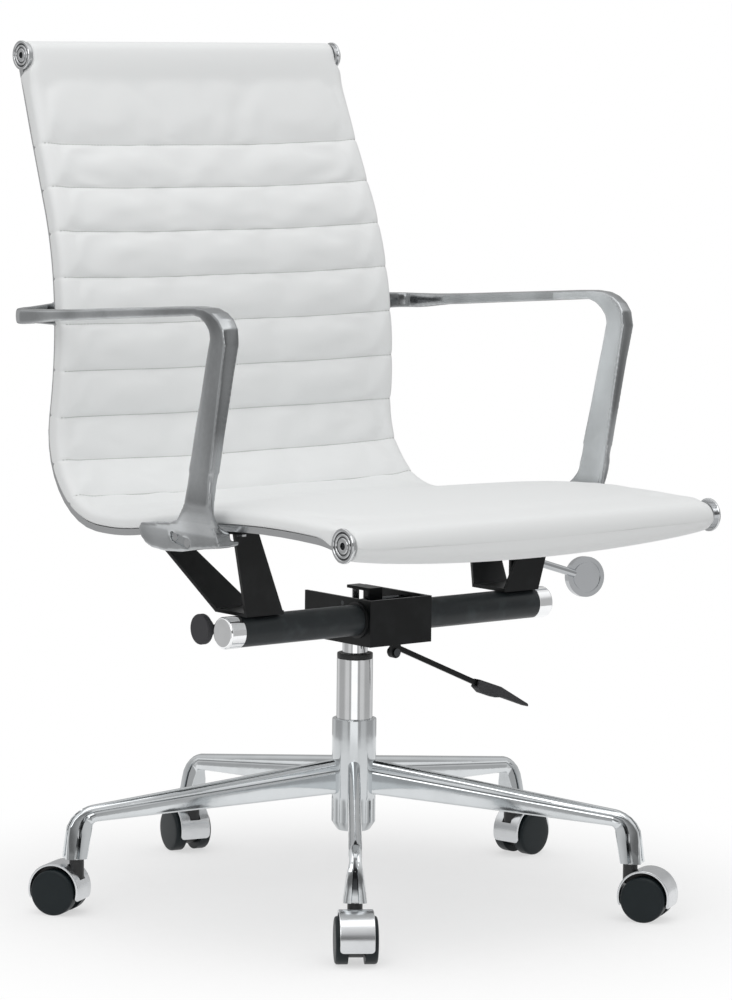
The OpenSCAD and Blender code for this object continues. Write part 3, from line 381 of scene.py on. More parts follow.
@dataclass(frozen=True)
class WhiteLeather(Finish):
    """Pigmented white leather: pebbled grain, soft mottling, and grey seams, partly their own tone and partly
    painted shade of their grooves.
    """

    seam_and_shade_color: Color = srgb(150, 153, 149)
    shade: Color = srgb(222, 225, 222)

    def paint(self, graph: Graph) -> dict[str, object]:
        """Mixes grain, mottling and the seam mask that the mesh carries, which holds painted shade in the
        seams' grooves.
        """
        pebble = graph.cells(620)
        fine = graph.noise(2300, 2)
        mottle = graph.noise(9, 3)
        body = graph.tint(mottle.band(0.3, 0.75), self.color, self.shade)
        return dict(
            # The seam colour is partly the seam's own grey and partly painted shade of its groove
            Base_Color=graph.tint(graph.attribute("seam"), body, self.seam_and_shade_color),
            Roughness=0.5 + 0.12 * pebble - 0.06 * mottle,
            Specular_IOR_Level=0.42,
            Normal=graph.bump(pebble * 0.7 + fine * 0.3, 0.18 * MM, 0.55),
        )


@dataclass(frozen=True)
class SewingThread(Finish):
    """Twisted polyester thread."""

    def paint(self, graph: Graph) -> dict[str, object]:
        """Adds the twist as fine stripes."""
        twist = graph.noise(5200, 1)
        return dict(Base_Color=graph.tint(twist, self.scaled(0.8), self.color), Roughness=0.6 + 0.1 * twist)


CHROME = PolishedMetal("chrome_plate", (0.80, 0.81, 0.82), 0.05, 0.04)
BASE_METAL = PolishedMetal("buffed_base", (0.68, 0.705, 0.72), 0.06, 0.05, recess=True)
RAIL_METAL = PolishedMetal("buffed_rail", (0.62, 0.63, 0.64), 0.13, 0.06)
ARM_METAL = BrushedMetal("satin_arm", (0.46, 0.475, 0.485), 0.16)
HOOD_METAL = PolishedMetal("hood_plate", (0.72, 0.735, 0.75), 0.21, 0.05)
# Painted light: a lighter copy of the chrome, so that the caps' faces look brighter
BRIGHTENED_CAP_METAL = PolishedMetal("brightened_cap_plate", (0.97, 0.98, 0.99), 0.05, 0.04)
DISC_METAL = PolishedMetal("disc_plate", (0.64, 0.65, 0.66), 0.12, 0.05, recess=True)
KNOB_METAL = PolishedMetal("knob_plate", (0.50, 0.515, 0.53), 0.12, 0.05)
BOLT_STEEL = PolishedMetal("zinc_bolt", (0.55, 0.56, 0.57), 0.2, 0.1)
ENAMEL = BlackPaint("black_enamel", srgb(11, 13, 14), 0.27)
TUBE_ENAMEL = BlackPaint("tube_enamel", srgb(42, 46, 48), 0.3)
DARK_STEEL = PolishedMetal("dark_steel", (0.10, 0.105, 0.11), 0.22, 0.1)
GRIP = MouldedPlastic("black_grip", srgb(30, 32, 33), 0.42)
GUIDE = MouldedPlastic("guide_ring", srgb(22, 23, 24), 0.4)
CASTER_BLACK = MouldedPlastic("caster_body", srgb(24, 25, 26), 0.4)
WHEEL_GREY = MouldedPlastic("wheel_shell", srgb(16, 25, 28), 0.4, 900.0, 0.26)
LEATHER = WhiteLeather("white_leather", srgb(238, 240, 239))
THREAD = SewingThread("white_thread", srgb(184, 187, 182))

DARK_PINS = ("lever_pin", "release_pin")
NODE_FINISH: dict[Slot, Finish] = {
    Slot.BASE: BASE_METAL,
    Slot.COLUMN: CHROME,
    Slot.GUIDE: GUIDE,
    Slot.STEEL: BOLT_STEEL,
    Slot.PAINT: ENAMEL,
    Slot.GRIP: GRIP,
    Slot.TRIM: CHROME,
    Slot.ALUMINIUM: RAIL_METAL,
    Slot.LEATHER: LEATHER,
    Slot.HOOD: HOOD_METAL,
    Slot.CASTER: CASTER_BLACK,
    Slot.WHEEL: WHEEL_GREY,
}


# ---- Bench: modelling helpers ----


def mesh_points(obj: bpy.types.Object) -> np.ndarray:
    """Reads the vertices of a mesh.

    Args:
        obj: the mesh's object.

    Returns:
        One row of X, Y and Z in metres for each vertex.
    """
    flat = np.empty(len(obj.data.vertices) * 3)
    obj.data.vertices.foreach_get("co", flat)
    return flat.reshape(-1, 3)


def eased(share: float | np.ndarray) -> float | np.ndarray:
    """Keeps a share between 0 and 1 and lets it start and end softly."""
    held = np.clip(share, 0.0, 1.0)
    return held * held * (3 - 2 * held)


class Bench:
    """Modelling steps that the sub-assemblies share."""

    # Smallest edge angle that is rounded, in degrees
    SHARP: ClassVar[float] = 32.0

    @staticmethod
    def clear() -> None:
        """Leaves edit mode and selects nothing."""
        if bpy.context.object and bpy.context.object.mode != "OBJECT":
            bpy.ops.object.mode_set(mode="OBJECT")
        bpy.ops.object.select_all(action="DESELECT")

    @staticmethod
    def choose(obj: bpy.types.Object) -> None:
        """Selects one object alone and makes it active.

        Args:
            obj: the object.
        """
        Bench.clear()
        obj.select_set(True)
        bpy.context.view_layer.objects.active = obj

    @staticmethod
    @contextmanager
    def editing(obj: bpy.types.Object) -> Iterator[bmesh.types.BMesh]:
        """Opens an object in edit mode with nothing selected.

        Args:
            obj: the object to edit.

        Yields:
            Its edit mesh.
        """
        Bench.choose(obj)
        bpy.ops.object.mode_set(mode="EDIT")
        bpy.ops.mesh.select_mode(type="VERT")
        bpy.ops.mesh.select_all(action="DESELECT")
        mesh = bmesh.from_edit_mesh(obj.data)
        yield mesh
        bmesh.update_edit_mesh(obj.data)
        bpy.ops.object.mode_set(mode="OBJECT")

    @staticmethod
    def added(name: str, data: bpy.types.ID) -> bpy.types.Object:
        """Adds an object that shows a mesh, lamp or camera.

        Args:
            name: name of the object.
            data: what it shows.

        Returns:
            The object.
        """
        obj = bpy.data.objects.new(name, data)
        bpy.context.scene.collection.objects.link(obj)
        data.name = name
        return obj

    @staticmethod
    def disc(name: str, sides: int, radius: float) -> bpy.types.Object:
        """Adds a flat disc at the origin.

        Args:
            name: name of the new piece.
            sides: number of its sides.
            radius: its radius in metres.

        Returns:
            The new object.
        """
        Bench.clear()
        bpy.ops.mesh.primitive_circle_add(vertices=sides, radius=radius, fill_type="NGON")
        obj = bpy.context.object
        obj.name = obj.data.name = name
        return obj

    @staticmethod
    def loft(name: str, rings: Sequence[np.ndarray]) -> bpy.types.Object:
        """Makes a closed skin through rings of points, by extruding a disc from ring to ring.

        Args:
            name: name of the new piece.
            rings: arrays of points in metres, all of one length, in order.

        Returns:
            The new object.
        """
        obj = Bench.disc(name, len(rings[0]), 1.0)
        with Bench.editing(obj) as mesh:
            layer = mesh.verts.layers.int.new("ring_place")
            mesh.verts.ensure_lookup_table()
            for place, vert in enumerate(mesh.verts):
                vert[layer] = place
                vert.co = rings[0][place]
            bpy.ops.mesh.select_all(action="SELECT")
            for ring in rings[1:]:
                bpy.ops.mesh.extrude_region_move()
                mesh = bmesh.from_edit_mesh(obj.data)
                layer = mesh.verts.layers.int["ring_place"]
                for vert in mesh.verts:
                    if vert.select:
                        vert.co = ring[vert[layer]]
                bmesh.update_edit_mesh(obj.data, loop_triangles=False)
            bpy.ops.mesh.select_all(action="SELECT")
            bpy.ops.mesh.remove_doubles(threshold=0.001 * MM)
            bpy.ops.mesh.normals_make_consistent(inside=False)
            mesh = bmesh.from_edit_mesh(obj.data)
            mesh.verts.layers.int.remove(mesh.verts.layers.int["ring_place"])
        return obj

    @staticmethod
    def lathe(
        name: str,
        outline: Sequence[tuple[float, float]],
        origin: Sequence[float],
        axis: Sequence[float],
        sides: int = 48,
    ) -> bpy.types.Object:
        """Makes a turned piece.

        Args:
            name: name of the new piece.
            outline: radius and distance along the axis of each edge, in order.
            origin: point on the axis at distance 0.
            axis: direction of the axis.
            sides: number of sides.

        Returns:
            The new object.
        """
        turn = Vector((0, 0, 1)).rotation_difference(Vector(axis).normalized()).to_matrix()
        angles = np.arange(sides) * 2 * math.pi / sides
        rings = []
        for radius, along in outline:
            flat = np.c_[radius * np.cos(angles), radius * np.sin(angles), np.full(sides, along)]
            rings.append(flat @ np.array(turn).T + np.array(origin))
        return Bench.loft(name, rings)

    @staticmethod
    def repeat(obj: bpy.types.Object, places: Sequence[Matrix]) -> None:
        """Turns a small piece into a set of copies of itself, as one mesh.

        Args:
            obj: the piece, modelled at the origin.
            places: where each copy goes.
        """
        shape = mesh_points(obj)
        size, wanted = len(shape), len(places)
        made = 1
        with Bench.editing(obj):
            while made < wanted:
                share = min(made, wanted - made)
                mesh = bmesh.from_edit_mesh(obj.data)
                bpy.ops.mesh.select_all(action="DESELECT")
                for place, vert in enumerate(mesh.verts):
                    vert.select = place < share * size
                mesh.select_flush_mode()
                bpy.ops.mesh.duplicate_move()
                made += share
        turned = [shape @ np.array(place.to_3x3()).T + np.array(place.translation) for place in places]
        obj.data.vertices.foreach_set("co", np.concatenate(turned).ravel())
        obj.data.update()

    @staticmethod
    def joined(pieces: Sequence[bpy.types.Object]) -> bpy.types.Object:
        """Joins pieces into the first of them.

        Args:
            pieces: the pieces.

        Returns:
            The first piece.
        """
        Bench.choose(pieces[0])
        for piece in pieces[1:]:
            piece.select_set(True)
        bpy.ops.object.join()
        return pieces[0]

    @staticmethod
    def modify(obj: bpy.types.Object, kind: str, **settings: object) -> None:
        """Changes an object by one modifier, which is applied at once.

        Args:
            obj: the object.
            kind: type name of the modifier.
            settings: the modifier's attributes.
        """
        Bench.choose(obj)
        modifier = obj.modifiers.new(kind, kind)
        for name, value in settings.items():
            setattr(modifier, name, value)
        bpy.ops.object.modifier_apply(modifier=modifier.name)

    @staticmethod
    def smooth(obj: bpy.types.Object, angle: float) -> None:
        """Shades smooth, apart from edges sharper than an angle in degrees."""
        Bench.choose(obj)
        bpy.ops.object.shade_smooth_by_angle(angle=math.radians(angle))

    @staticmethod
    def cut(obj: bpy.types.Object, tool: bpy.types.Object) -> None:
        """Cuts a tool's shape out of a piece and removes the tool."""
        Bench.modify(obj, "BOOLEAN", operation="DIFFERENCE", object=tool)
        bpy.data.objects.remove(tool)

    @staticmethod
    def store(obj: bpy.types.Object, name: str, values: Sequence[float]) -> None:
        """Stores a number for each vertex, which the finishes read.

        Args:
            obj: the piece.
            name: name of the attribute.
            values: the numbers in the order of the vertices, where missing last ones are 0.
        """
        padded = np.zeros(len(obj.data.vertices), dtype=np.float32)
        padded[:len(values)] = values
        obj.data.attributes.new(name, "FLOAT", "POINT").data.foreach_set("value", padded)

    @staticmethod
    def flatten(obj: bpy.types.Object) -> None:
        """Lets the large faces set the shading, so that they look flat between their rounded edges."""
        Bench.modify(obj, "WEIGHTED_NORMAL", mode="FACE_AREA", weight=80, keep_sharp=True)

    @staticmethod
    def copied(node: str, flat: float = 0.0) -> bpy.types.Object:
        """Copies a CAD node's mesh, merged into one skin.

        Args:
            node: name of the CAD node.
            flat: angle in degrees between faces up to which they become one face.

        Returns:
            The copy.
        """
        obj = Bench.added(f"{node}_shape", frame["nodes"][node].data.copy())
        obj.data.materials.clear()
        with Bench.editing(obj):
            bpy.ops.mesh.select_all(action="SELECT")
            bpy.ops.mesh.customdata_custom_splitnormals_clear()
            bpy.ops.mesh.remove_doubles(threshold=0.002 * MM)
            if flat:
                bpy.ops.mesh.dissolve_limited(angle_limit=math.radians(flat))
        return obj

    @staticmethod
    def rounded(node: str, width: float) -> bpy.types.Object:
        """Makes a piece from a CAD node's shape, with rounded edges.

        Args:
            node: name of the CAD node.
            width: width of the rounding in metres.

        Returns:
            The new object.
        """
        obj = Bench.copied(node, 1.0)
        limit = math.radians(Bench.SHARP)
        Bench.modify(obj, "BEVEL", width=width, segments=2, limit_method="ANGLE", angle_limit=limit)
        Bench.smooth(obj, Bench.SHARP)
        Bench.flatten(obj)
        return obj

    @staticmethod
    def deliver(
        obj: bpy.types.Object, body: str, finish: Finish, slot: Slot, nodes: Sequence[str] = ()
    ) -> None:
        """Dresses a piece, joins it to its body and hides the CAD nodes that it stands for.

        Args:
            obj: the finished piece.
            body: name of the CAD body that carries it.
            finish: its finish.
            slot: the record's slot for that finish; not used.
            nodes: names of the CAD nodes that it replaces.
        """
        obj.data.materials.clear()
        obj.data.materials.append(finish.material())
        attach(obj, body)
        if nodes:
            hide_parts(*nodes)
        log.info("%s rides on %s, %d faces", obj.name, body, len(obj.data.polygons))


# ---- Sling ----


@dataclass
class SideProfile:
    """Side view of the sling's middle line, from the front rod to the top rod, in millimetres."""

    start: tuple[float, float] = (-296.0, 441.5)
    heading: float = 16.6
    front_half: float = 251.5
    # Loss of half width for each millimetre backwards and each one upwards
    narrowing: tuple[float, float] = (0.0198, 0.04121)
    arcs: tuple[tuple[float, float], ...] = (
        (190.0, -14.2), (1435.0, -12.4), (412.0, 12.8), (95.0, 94.7),
        (512.0, -16.5), (397.0, -14.0), (3900.0, 2.5),
    )

    @cached_property
    def length(self) -> float:
        """Length of the line."""
        return sum(radius * abs(math.radians(turn)) for radius, turn in self.arcs)

    def at(self, distance: float) -> tuple[float, float, float]:
        """Finds a point of the line.

        Args:
            distance: distance along the line from the front rod.

        Returns:
            Its Y and Z, and the line's heading there in radians.
        """
        y, z = self.start
        heading = math.radians(self.heading)
        left = max(distance, 0.0)
        for radius, turn in self.arcs:
            length = radius * abs(math.radians(turn))
            step = min(left, length)
            side = math.copysign(1.0, turn)
            y -= side * radius * math.sin(heading)
            z += side * radius * math.cos(heading)
            heading += side * step / radius
            y += side * radius * math.sin(heading)
            z -= side * radius * math.cos(heading)
            left -= step
            if left <= 1e-9:
                break
        return y, z, heading

    def half_width(self, y: float, z: float) -> float:
        """Distance of the rails' outer faces from the middle plane at a place in side view."""
        back, up = y - self.start[0], z - self.start[1]
        return self.front_half - self.narrowing[0] * back - self.narrowing[1] * up


@dataclass
class Sling:
    """The padded leather sling with its sewn channels and rolled ends. Sizes are in millimetres."""

    profile: SideProfile = field(default_factory=SideProfile)
    # Seams: their number, the highest one's distance from the top rod, and the distance between them
    seams: int = 9
    first_seam: float = 106.5
    pitch: float = 51.3
    # Rows of the mesh beside a seam, and the nearest row between two seams
    beside: tuple[float, ...] = (1.3, 3.2, 6.6)
    clear: float = 11.5
    # Heights of the upper and lower face over the middle line, and depths of the seams in them
    top: float = 11.2
    low: float = -3.6
    groove: float = 4.6
    low_groove: float = 2.2
    low_swell: float = 3.0
    notch: float = 1.3
    notch_reach: float = 2.6
    # Length over which the padding rises at the first and the last seam, and how steeply it rises
    rise: tuple[float, float] = (55.0, 32.0)
    steepness: float = 2.8
    # Hollow across the chair: depth in the back, share of it in the seat, and where the back's starts
    recess: float = 3.4
    seat_share: float = 0.25
    recess_start: float = 450.0
    recess_reach: float = 300.0
    # Length and height of the seat's swelling
    seat_length: float = 470.0
    seat_swell: float = 4.0
    # Rolls over the rods: radius, length of the run into them, and inset at the end discs
    roll: float = 15.7
    roll_reach: float = 46.0
    rod_inset: float = 5.4
    disc_reach: float = 17.0
    edge_inset: float = -1.0
    # Sides: radius and drop of the rounded edge, places of the rows, and the way down the rail
    edge_round: float = 11.0
    edge_drop: float = 8.5
    edge_reach: float = 30.0
    edge_steps: tuple[float, ...] = (0.0, 0.4, 1.3, 2.8, 5.0, 8.0, 12.0, 17.0, 23.0, 31.0, 40.0)
    low_steps: tuple[float, ...] = (3.2, 5.0, 14.0, 27.0, 40.0)
    wall_steps: tuple[float, ...] = (0.3, 0.65, 1.0)
    wrap: float = 11.3
    wrap_start: float = 440.0
    wrap_reach: float = 150.0
    across: int = 30
    # Sag of the front edge under the rod, limit of the puffing, and sag of the seams in the back
    droop: float = 14.0
    droop_reach: float = 120.0
    puff: float = 2.6
    sag: float = 3.0
    waver: float = 0.5
    stitch_pitch: float = 4.3
    stitch_length: float = 3.1
    stitch_radius: float = 0.42
    CLOTH_FRAMES: ClassVar[int] = 20
    # Distances from a seam, from a side and from an end within which the cloth is held
    HELD: ClassVar[tuple[float, float, float]] = (1.0, 13.0, 34.0)
    # Half width of a seam's dark line, its tone, partly painted shade of its groove, and the painted shade
    # that makes it darker within a distance of a side
    SEAM_LINE: ClassVar[float] = 2.4
    SEAM_TONE_AND_SHADE: ClassVar[float] = 0.42
    SIDE_SHADE_TONE: ClassVar[float] = 0.5
    SIDE_START: ClassVar[float] = 8.0
    SIDE_REACH: ClassVar[float] = 14.0
    STITCH_INSET: ClassVar[float] = 2.5
    STITCH_LIFT: ClassVar[float] = 0.12

    def seam_places(self) -> list[float]:
        """Distances of the seams along the profile, from the front."""
        length = self.profile.length
        return sorted(length - self.first_seam - self.pitch * k for k in range(self.seams))

    def rows(self) -> list[float]:
        """Distances along the profile of the mesh's rows, closer together at the seams."""
        seams = self.seam_places()
        places = list(np.linspace(0, seams[0] - 10.0, 56))
        for seam in seams:
            places += [seam, *(seam + side * gap for gap in self.beside for side in (-1, 1))]
        for low in seams[:-1]:
            places += list(np.linspace(low + self.clear, low + self.pitch - self.clear, 6))
        places += list(np.linspace(seams[-1] + self.clear, self.profile.length, 15))
        return sorted(places)

    def crown(self, distance: float) -> float:
        """Height share of the padding at a place, 0 in a seam and 1 on a channel's crest.

        Args:
            distance: distance along the profile.

        Returns:
            The share.
        """
        seams = self.seam_places()
        if distance <= seams[0]:
            return 1.0 - max(0.0, 1.0 - (seams[0] - distance) / self.rise[0]) ** self.steepness
        if distance >= seams[-1]:
            return 1.0 - max(0.0, 1.0 - (distance - seams[-1]) / self.rise[1]) ** self.steepness
        low = max(seam for seam in seams if seam <= distance)
        share = (distance - low) / self.pitch
        return 1.0 - abs(2 * share ** 0.9 - 1) ** 2.7

    def section(self, wide: float) -> list[tuple[float, float, float]]:
        """Places round the section.

        Args:
            wide: half width of the section in millimetres.

        Returns:
            For each point its X, its distance from the nearer side, and its part: 1 for the upper
            face, -2 for the lower face, and -1 to 0 for the way down a side.
        """
        inner = list(np.linspace(self.edge_steps[-1], wide, self.across // 2)[1:])
        upper = [(step, 1.0) for step in list(self.edge_steps) + inner]
        side = [(0.0, share - 1.0 - 1e-3) for share in self.wall_steps]
        lower = side + [(step, -2.0) for step in [*self.low_steps, *inner[::2]]]
        points = []
        for face, steps in ((1, upper), (-1, lower)):
            row = [(step - wide, step, part) for step, part in steps]
            row += [(-x, step, part) for x, step, part in reversed(row) if x < -1e-6]
            points += row if face > 0 else list(reversed(row))
        return points

    def upper(self, distance: float, edge: float, arch: float, ease: float) -> float:
        """Height of the upper face over the middle line.

        Args:
            distance: distance along the profile.
            edge: distance from the nearer side.
            arch: 1 in the chair's middle plane, falling to 0 at the sides.
            ease: share of the roll in the shape, 1 at the rod.

        Returns:
            The height.
        """
        inside = eased(edge / self.edge_reach)
        sunk = self.groove * (1 - self.crown(distance)) * (0.3 + 0.7 * inside)
        body = self.top - sunk - self.seam_notch(distance) * (0.8 + 0.2 * inside)
        if distance < self.seat_length:
            body += self.seat_swell * arch * math.sin(math.pi * distance / self.seat_length) ** 0.7
        hollow = self.recess * (1.0 if distance > self.recess_start else self.seat_share)
        body -= hollow * min(1.0, distance / self.recess_reach) * arch * (1 - ease)
        lack = max(0.0, 1 - edge / self.edge_round)
        rounding = self.edge_drop * (1 - math.sqrt(1 - lack * lack)) * (1 - 0.6 * ease)
        return body + (self.roll - body) * ease - rounding

    def lower(self, distance: float, edge: float, ease: float) -> float:
        """Height of the lower face over the middle line.

        Args:
            distance: distance along the profile.
            edge: distance from the nearer side.
            ease: share of the roll in the shape, 1 at the rod.

        Returns:
            The height.
        """
        crown = self.crown(distance)
        sunk = self.low_groove * (1 - crown) * eased(edge / self.edge_reach)
        body = self.low + sunk - self.low_swell * crown * np.clip((edge - 36) / 25, 0, 1)
        return body + (-self.roll - body) * ease

    def wall(self, distance: float, share: float, ease: float) -> float:
        """Height of a side's point over the middle line. Up the back the leather hides the rail.

        Args:
            distance: distance along the profile.
            share: share of the way down the side.
            ease: share of the roll in the shape, 1 at the rod.

        Returns:
            The height.
        """
        high = self.top - self.edge_drop - 0.3 * self.groove * (1 - self.crown(distance))
        high -= 0.8 * self.seam_notch(distance)
        deep = self.low - (self.wrap + self.low) * eased((distance - self.wrap_start) / self.wrap_reach)
        body = high + (deep - high) * share
        return body + (-self.roll * share - body) * ease

    def seam_notch(self, distance: float) -> float:
        """Depth of the sharp notch that a seam cuts, 0 away from it."""
        gap = min(abs(distance - seam) for seam in self.seam_places())
        return self.notch * max(0.0, 1.0 - gap / self.notch_reach)

    def ring(self, distance: float, shrink: float, ahead: float) -> np.ndarray:
        """One section of the sling across the chair.

        Args:
            distance: distance along the profile.
            shrink: share of the section's thickness, less than 1 round a roll's nose.
            ahead: how far the section is moved outwards past the profile's end.

        Returns:
            The section's points in metres, along the upper face and back along the lower face.
        """
        y, z, heading = self.profile.at(distance)
        forward = np.array([math.cos(heading), math.sin(heading)])
        normal = np.array([-math.sin(heading), math.cos(heading)])
        to_end = min(distance, self.profile.length - distance)
        ease = eased(1.0 - to_end / self.roll_reach)
        inset = self.rod_inset if to_end < self.disc_reach else self.edge_inset
        wide = self.profile.half_width(y, z) - inset
        notch = self.seam_notch(distance)
        front = distance < self.profile.length / 2
        points = []
        for x, edge, part in self.section(wide):
            arch = 1 - (x / wide) ** 2
            if part > 0:
                depth = self.upper(distance, edge, arch, ease)
            elif part > -1.5:
                depth = self.wall(distance, part + 1.0, ease)
                x -= math.copysign(0.9 * notch + 16.0 * max(0.0, part + 0.1), x)
            else:
                depth = self.lower(distance, edge, ease)
            spot = np.array([y, z]) + normal * depth * shrink + forward * ahead
            if front and part <= 0:
                spot[1] -= self.droop * arch ** 0.8 * max(0.0, 1 - distance / self.droop_reach) ** 0.7
            elif front and ahead < 0:
                spot[1] -= self.droop * arch ** 0.8 * 0.25 * (ahead / self.roll) ** 2
            points.append((x, spot[0], spot[1]))
        return np.array(points) * MM

    def skin(self) -> bpy.types.Object:
        """Lofts the sling before it is puffed up.

        Returns:
            The sling's object.
        """
        length = self.profile.length
        noses = [math.radians(turn) for turn in (90, 78, 64, 50, 36, 24, 12)]
        stations = [(0.0, math.cos(turn), -self.roll * math.sin(turn)) for turn in noses]
        stations += [(place, 1.0, 0.0) for place in self.rows()]
        stations += [(length, math.cos(turn), self.roll * math.sin(turn)) for turn in reversed(noses)]
        return Bench.loft("seat_sling_leather", [self.ring(*station) for station in stations])

    def station(self, obj: bpy.types.Object) -> tuple[np.ndarray, np.ndarray]:
        """Finds the profile distance and the edge distance of every vertex.

        Args:
            obj: the sling.

        Returns:
            Both distances in millimetres.
        """
        spots = mesh_points(obj) / MM
        samples = np.linspace(0, self.profile.length, 1600)
        line = np.array([self.profile.at(sample) for sample in samples])
        nearest = np.empty(len(spots))
        for start in range(0, len(spots), 4000):
            part = spots[start:start + 4000, 1:]
            gap = ((part[:, None, :] - line[None, :, :2]) ** 2).sum(axis=2)
            nearest[start:start + 4000] = gap.argmin(axis=1)
        which = nearest.astype(int)
        half = np.array([self.profile.half_width(y, z) for y, z in line[which, :2]])
        return samples[which], half - np.abs(spots[:, 0])

    def seam_gap(self, place: np.ndarray) -> np.ndarray:
        """Distance from each place along the profile to the nearest seam."""
        return np.abs(place[:, None] - np.array(self.seam_places())).min(axis=1)

    def inflate(self, obj: bpy.types.Object) -> None:
        """Puffs the padding up as cloth between its seams, then applies the result.

        Args:
            obj: the lofted sling.
        """
        place, edge = self.station(obj)
        ends = np.minimum(place, self.profile.length - place)
        near_seam, near_side, near_end = self.HELD
        held = (self.seam_gap(place) < near_seam) | (edge < near_side) | (ends < near_end)
        group = obj.vertex_groups.new(name="sewn")
        group.add([int(index) for index in np.flatnonzero(held)], 1.0, "REPLACE")
        start = mesh_points(obj)
        cloth = obj.modifiers.new("cloth", "CLOTH")
        settings = {
            "quality": 6, "mass": 0.3, "tension_stiffness": 18.0, "compression_stiffness": 18.0,
            "bending_stiffness": 0.8, "use_pressure": True, "uniform_pressure_force": 4.0,
            "shrink_min": -0.012, "vertex_group_mass": group.name,
        }
        for name, value in settings.items():
            setattr(cloth.settings, name, value)
        cloth.settings.effector_weights.gravity = 0.0
        cloth.collision_settings.use_collision = False
        cloth.collision_settings.use_self_collision = False
        for step in range(1, self.CLOTH_FRAMES + 1):
            bpy.context.scene.frame_set(step)
        Bench.choose(obj)
        bpy.ops.object.modifier_apply(modifier=cloth.name)
        bpy.context.scene.frame_set(1)
        moved = mesh_points(obj) - start
        far = np.linalg.norm(moved, axis=1, keepdims=True)
        cap = self.puff * MM
        moved *= np.minimum(1.0, cap * np.tanh(far / cap) / np.maximum(far, 1e-9))
        obj.data.vertices.foreach_set("co", (start + moved).ravel())
        obj.vertex_groups.clear()

    def build(self) -> bpy.types.Object:
        """Models the sling.

        Returns:
            The sling's object.
        """
        obj = self.skin()
        self.inflate(obj)
        Bench.modify(obj, "SUBSURF", levels=1, render_levels=1)
        Bench.smooth(obj, 60)
        return obj

    def bow(self, obj: bpy.types.Object, place: np.ndarray, edge: np.ndarray) -> None:
        """Lets the back hang a little lower in its middle, so that its seams bow and waver.

        Args:
            obj: the sling or its stitches.
            place: profile distance of each vertex.
            edge: edge distance of each vertex.
        """
        spots = mesh_points(obj)
        x = spots[:, 0] / MM
        arch = 1 - (x / np.maximum(edge + np.abs(x), 1)) ** 2
        hold = eased((place - self.wrap_start) / 90) * eased((self.profile.length - place - 20) / 60)
        shift = -hold * arch * (self.sag + self.waver * np.sin(x / 37 + place * 0.13)) * MM
        steps = np.arange(int(self.profile.length) + 2)
        turn = np.interp(place, steps, [self.profile.at(float(step))[2] for step in steps])
        spots[:, 1] += shift * np.cos(turn)
        spots[:, 2] += shift * np.sin(turn)
        obj.data.vertices.foreach_set("co", spots.ravel())
        obj.data.update()

    def mark_seams_and_shade(self, obj: bpy.types.Object, place: np.ndarray, edge: np.ndarray) -> None:
        """Stores how dark a seam shows at each vertex: its line, partly painted shade of the groove, with
        more painted shade at the sides.

        Args:
            obj: the sling.
            place: profile distance of each vertex.
            edge: edge distance of each vertex.
        """
        near = np.clip(1 - self.seam_gap(place) / self.SEAM_LINE, 0, 1)
        side = np.clip(1 - (edge - self.SIDE_START) / self.SIDE_REACH, 0, 1)
        Bench.store(obj, "seam", near * (self.SEAM_TONE_AND_SHADE + self.SIDE_SHADE_TONE * side))

    def stitches(self, sling: bpy.types.Object) -> bpy.types.Object:
        """Sews a row of short stitches along every seam, on both faces.

        Args:
            sling: the finished sling.

        Returns:
            The stitches, as one object.
        """
        tree = BVHTree.FromObject(sling, bpy.context.evaluated_depsgraph_get())
        places = []
        for seam in self.seam_places():
            y, z, heading = self.profile.at(seam)
            normal = Vector((0, -math.sin(heading), math.cos(heading)))
            turn = Vector((0, 0, 1)).rotation_difference(normal).to_matrix().to_4x4()
            wide = self.profile.half_width(y, z) - self.STITCH_INSET
            count = int(2 * wide / self.stitch_pitch)
            for face in (1, -1):
                for k in range(count):
                    x = -wide + (k + 0.5) * 2 * wide / count
                    origin = Vector((x, y, z)) * MM + normal * (face * 40 * MM)
                    hit = tree.ray_cast(origin, -normal * face)[0]
                    if hit is not None:
                        spot = hit + normal * (face * self.STITCH_LIFT * MM)
                        places.append(Matrix.Translation(spot) @ turn)
        half, radius = self.stitch_length / 2, self.stitch_radius
        outline = [(0.05, -half), (radius, -half + 0.5), (radius, half - 0.5), (0.05, half)]
        one = Bench.lathe("sling_stitches", [(r * MM, a * MM) for r, a in outline], (0, 0, 0), (1, 0, 0), 6)
        Bench.repeat(one, places)
        Bench.smooth(one, 70)
        return one

    def dress(self) -> None:
        """Builds the sling and its stitches and hands them over."""
        obj = self.build()
        thread = self.stitches(obj)
        stations = self.station(obj)
        self.mark_seams_and_shade(obj, *stations)
        self.bow(obj, *stations)
        self.bow(thread, *self.station(thread))
        Bench.deliver(obj, "seat", LEATHER, Slot.LEATHER, ["seat_sling"])
        Bench.deliver(thread, "seat", THREAD, Slot.LEATHER)


# ---- Metal and plastic pieces ----


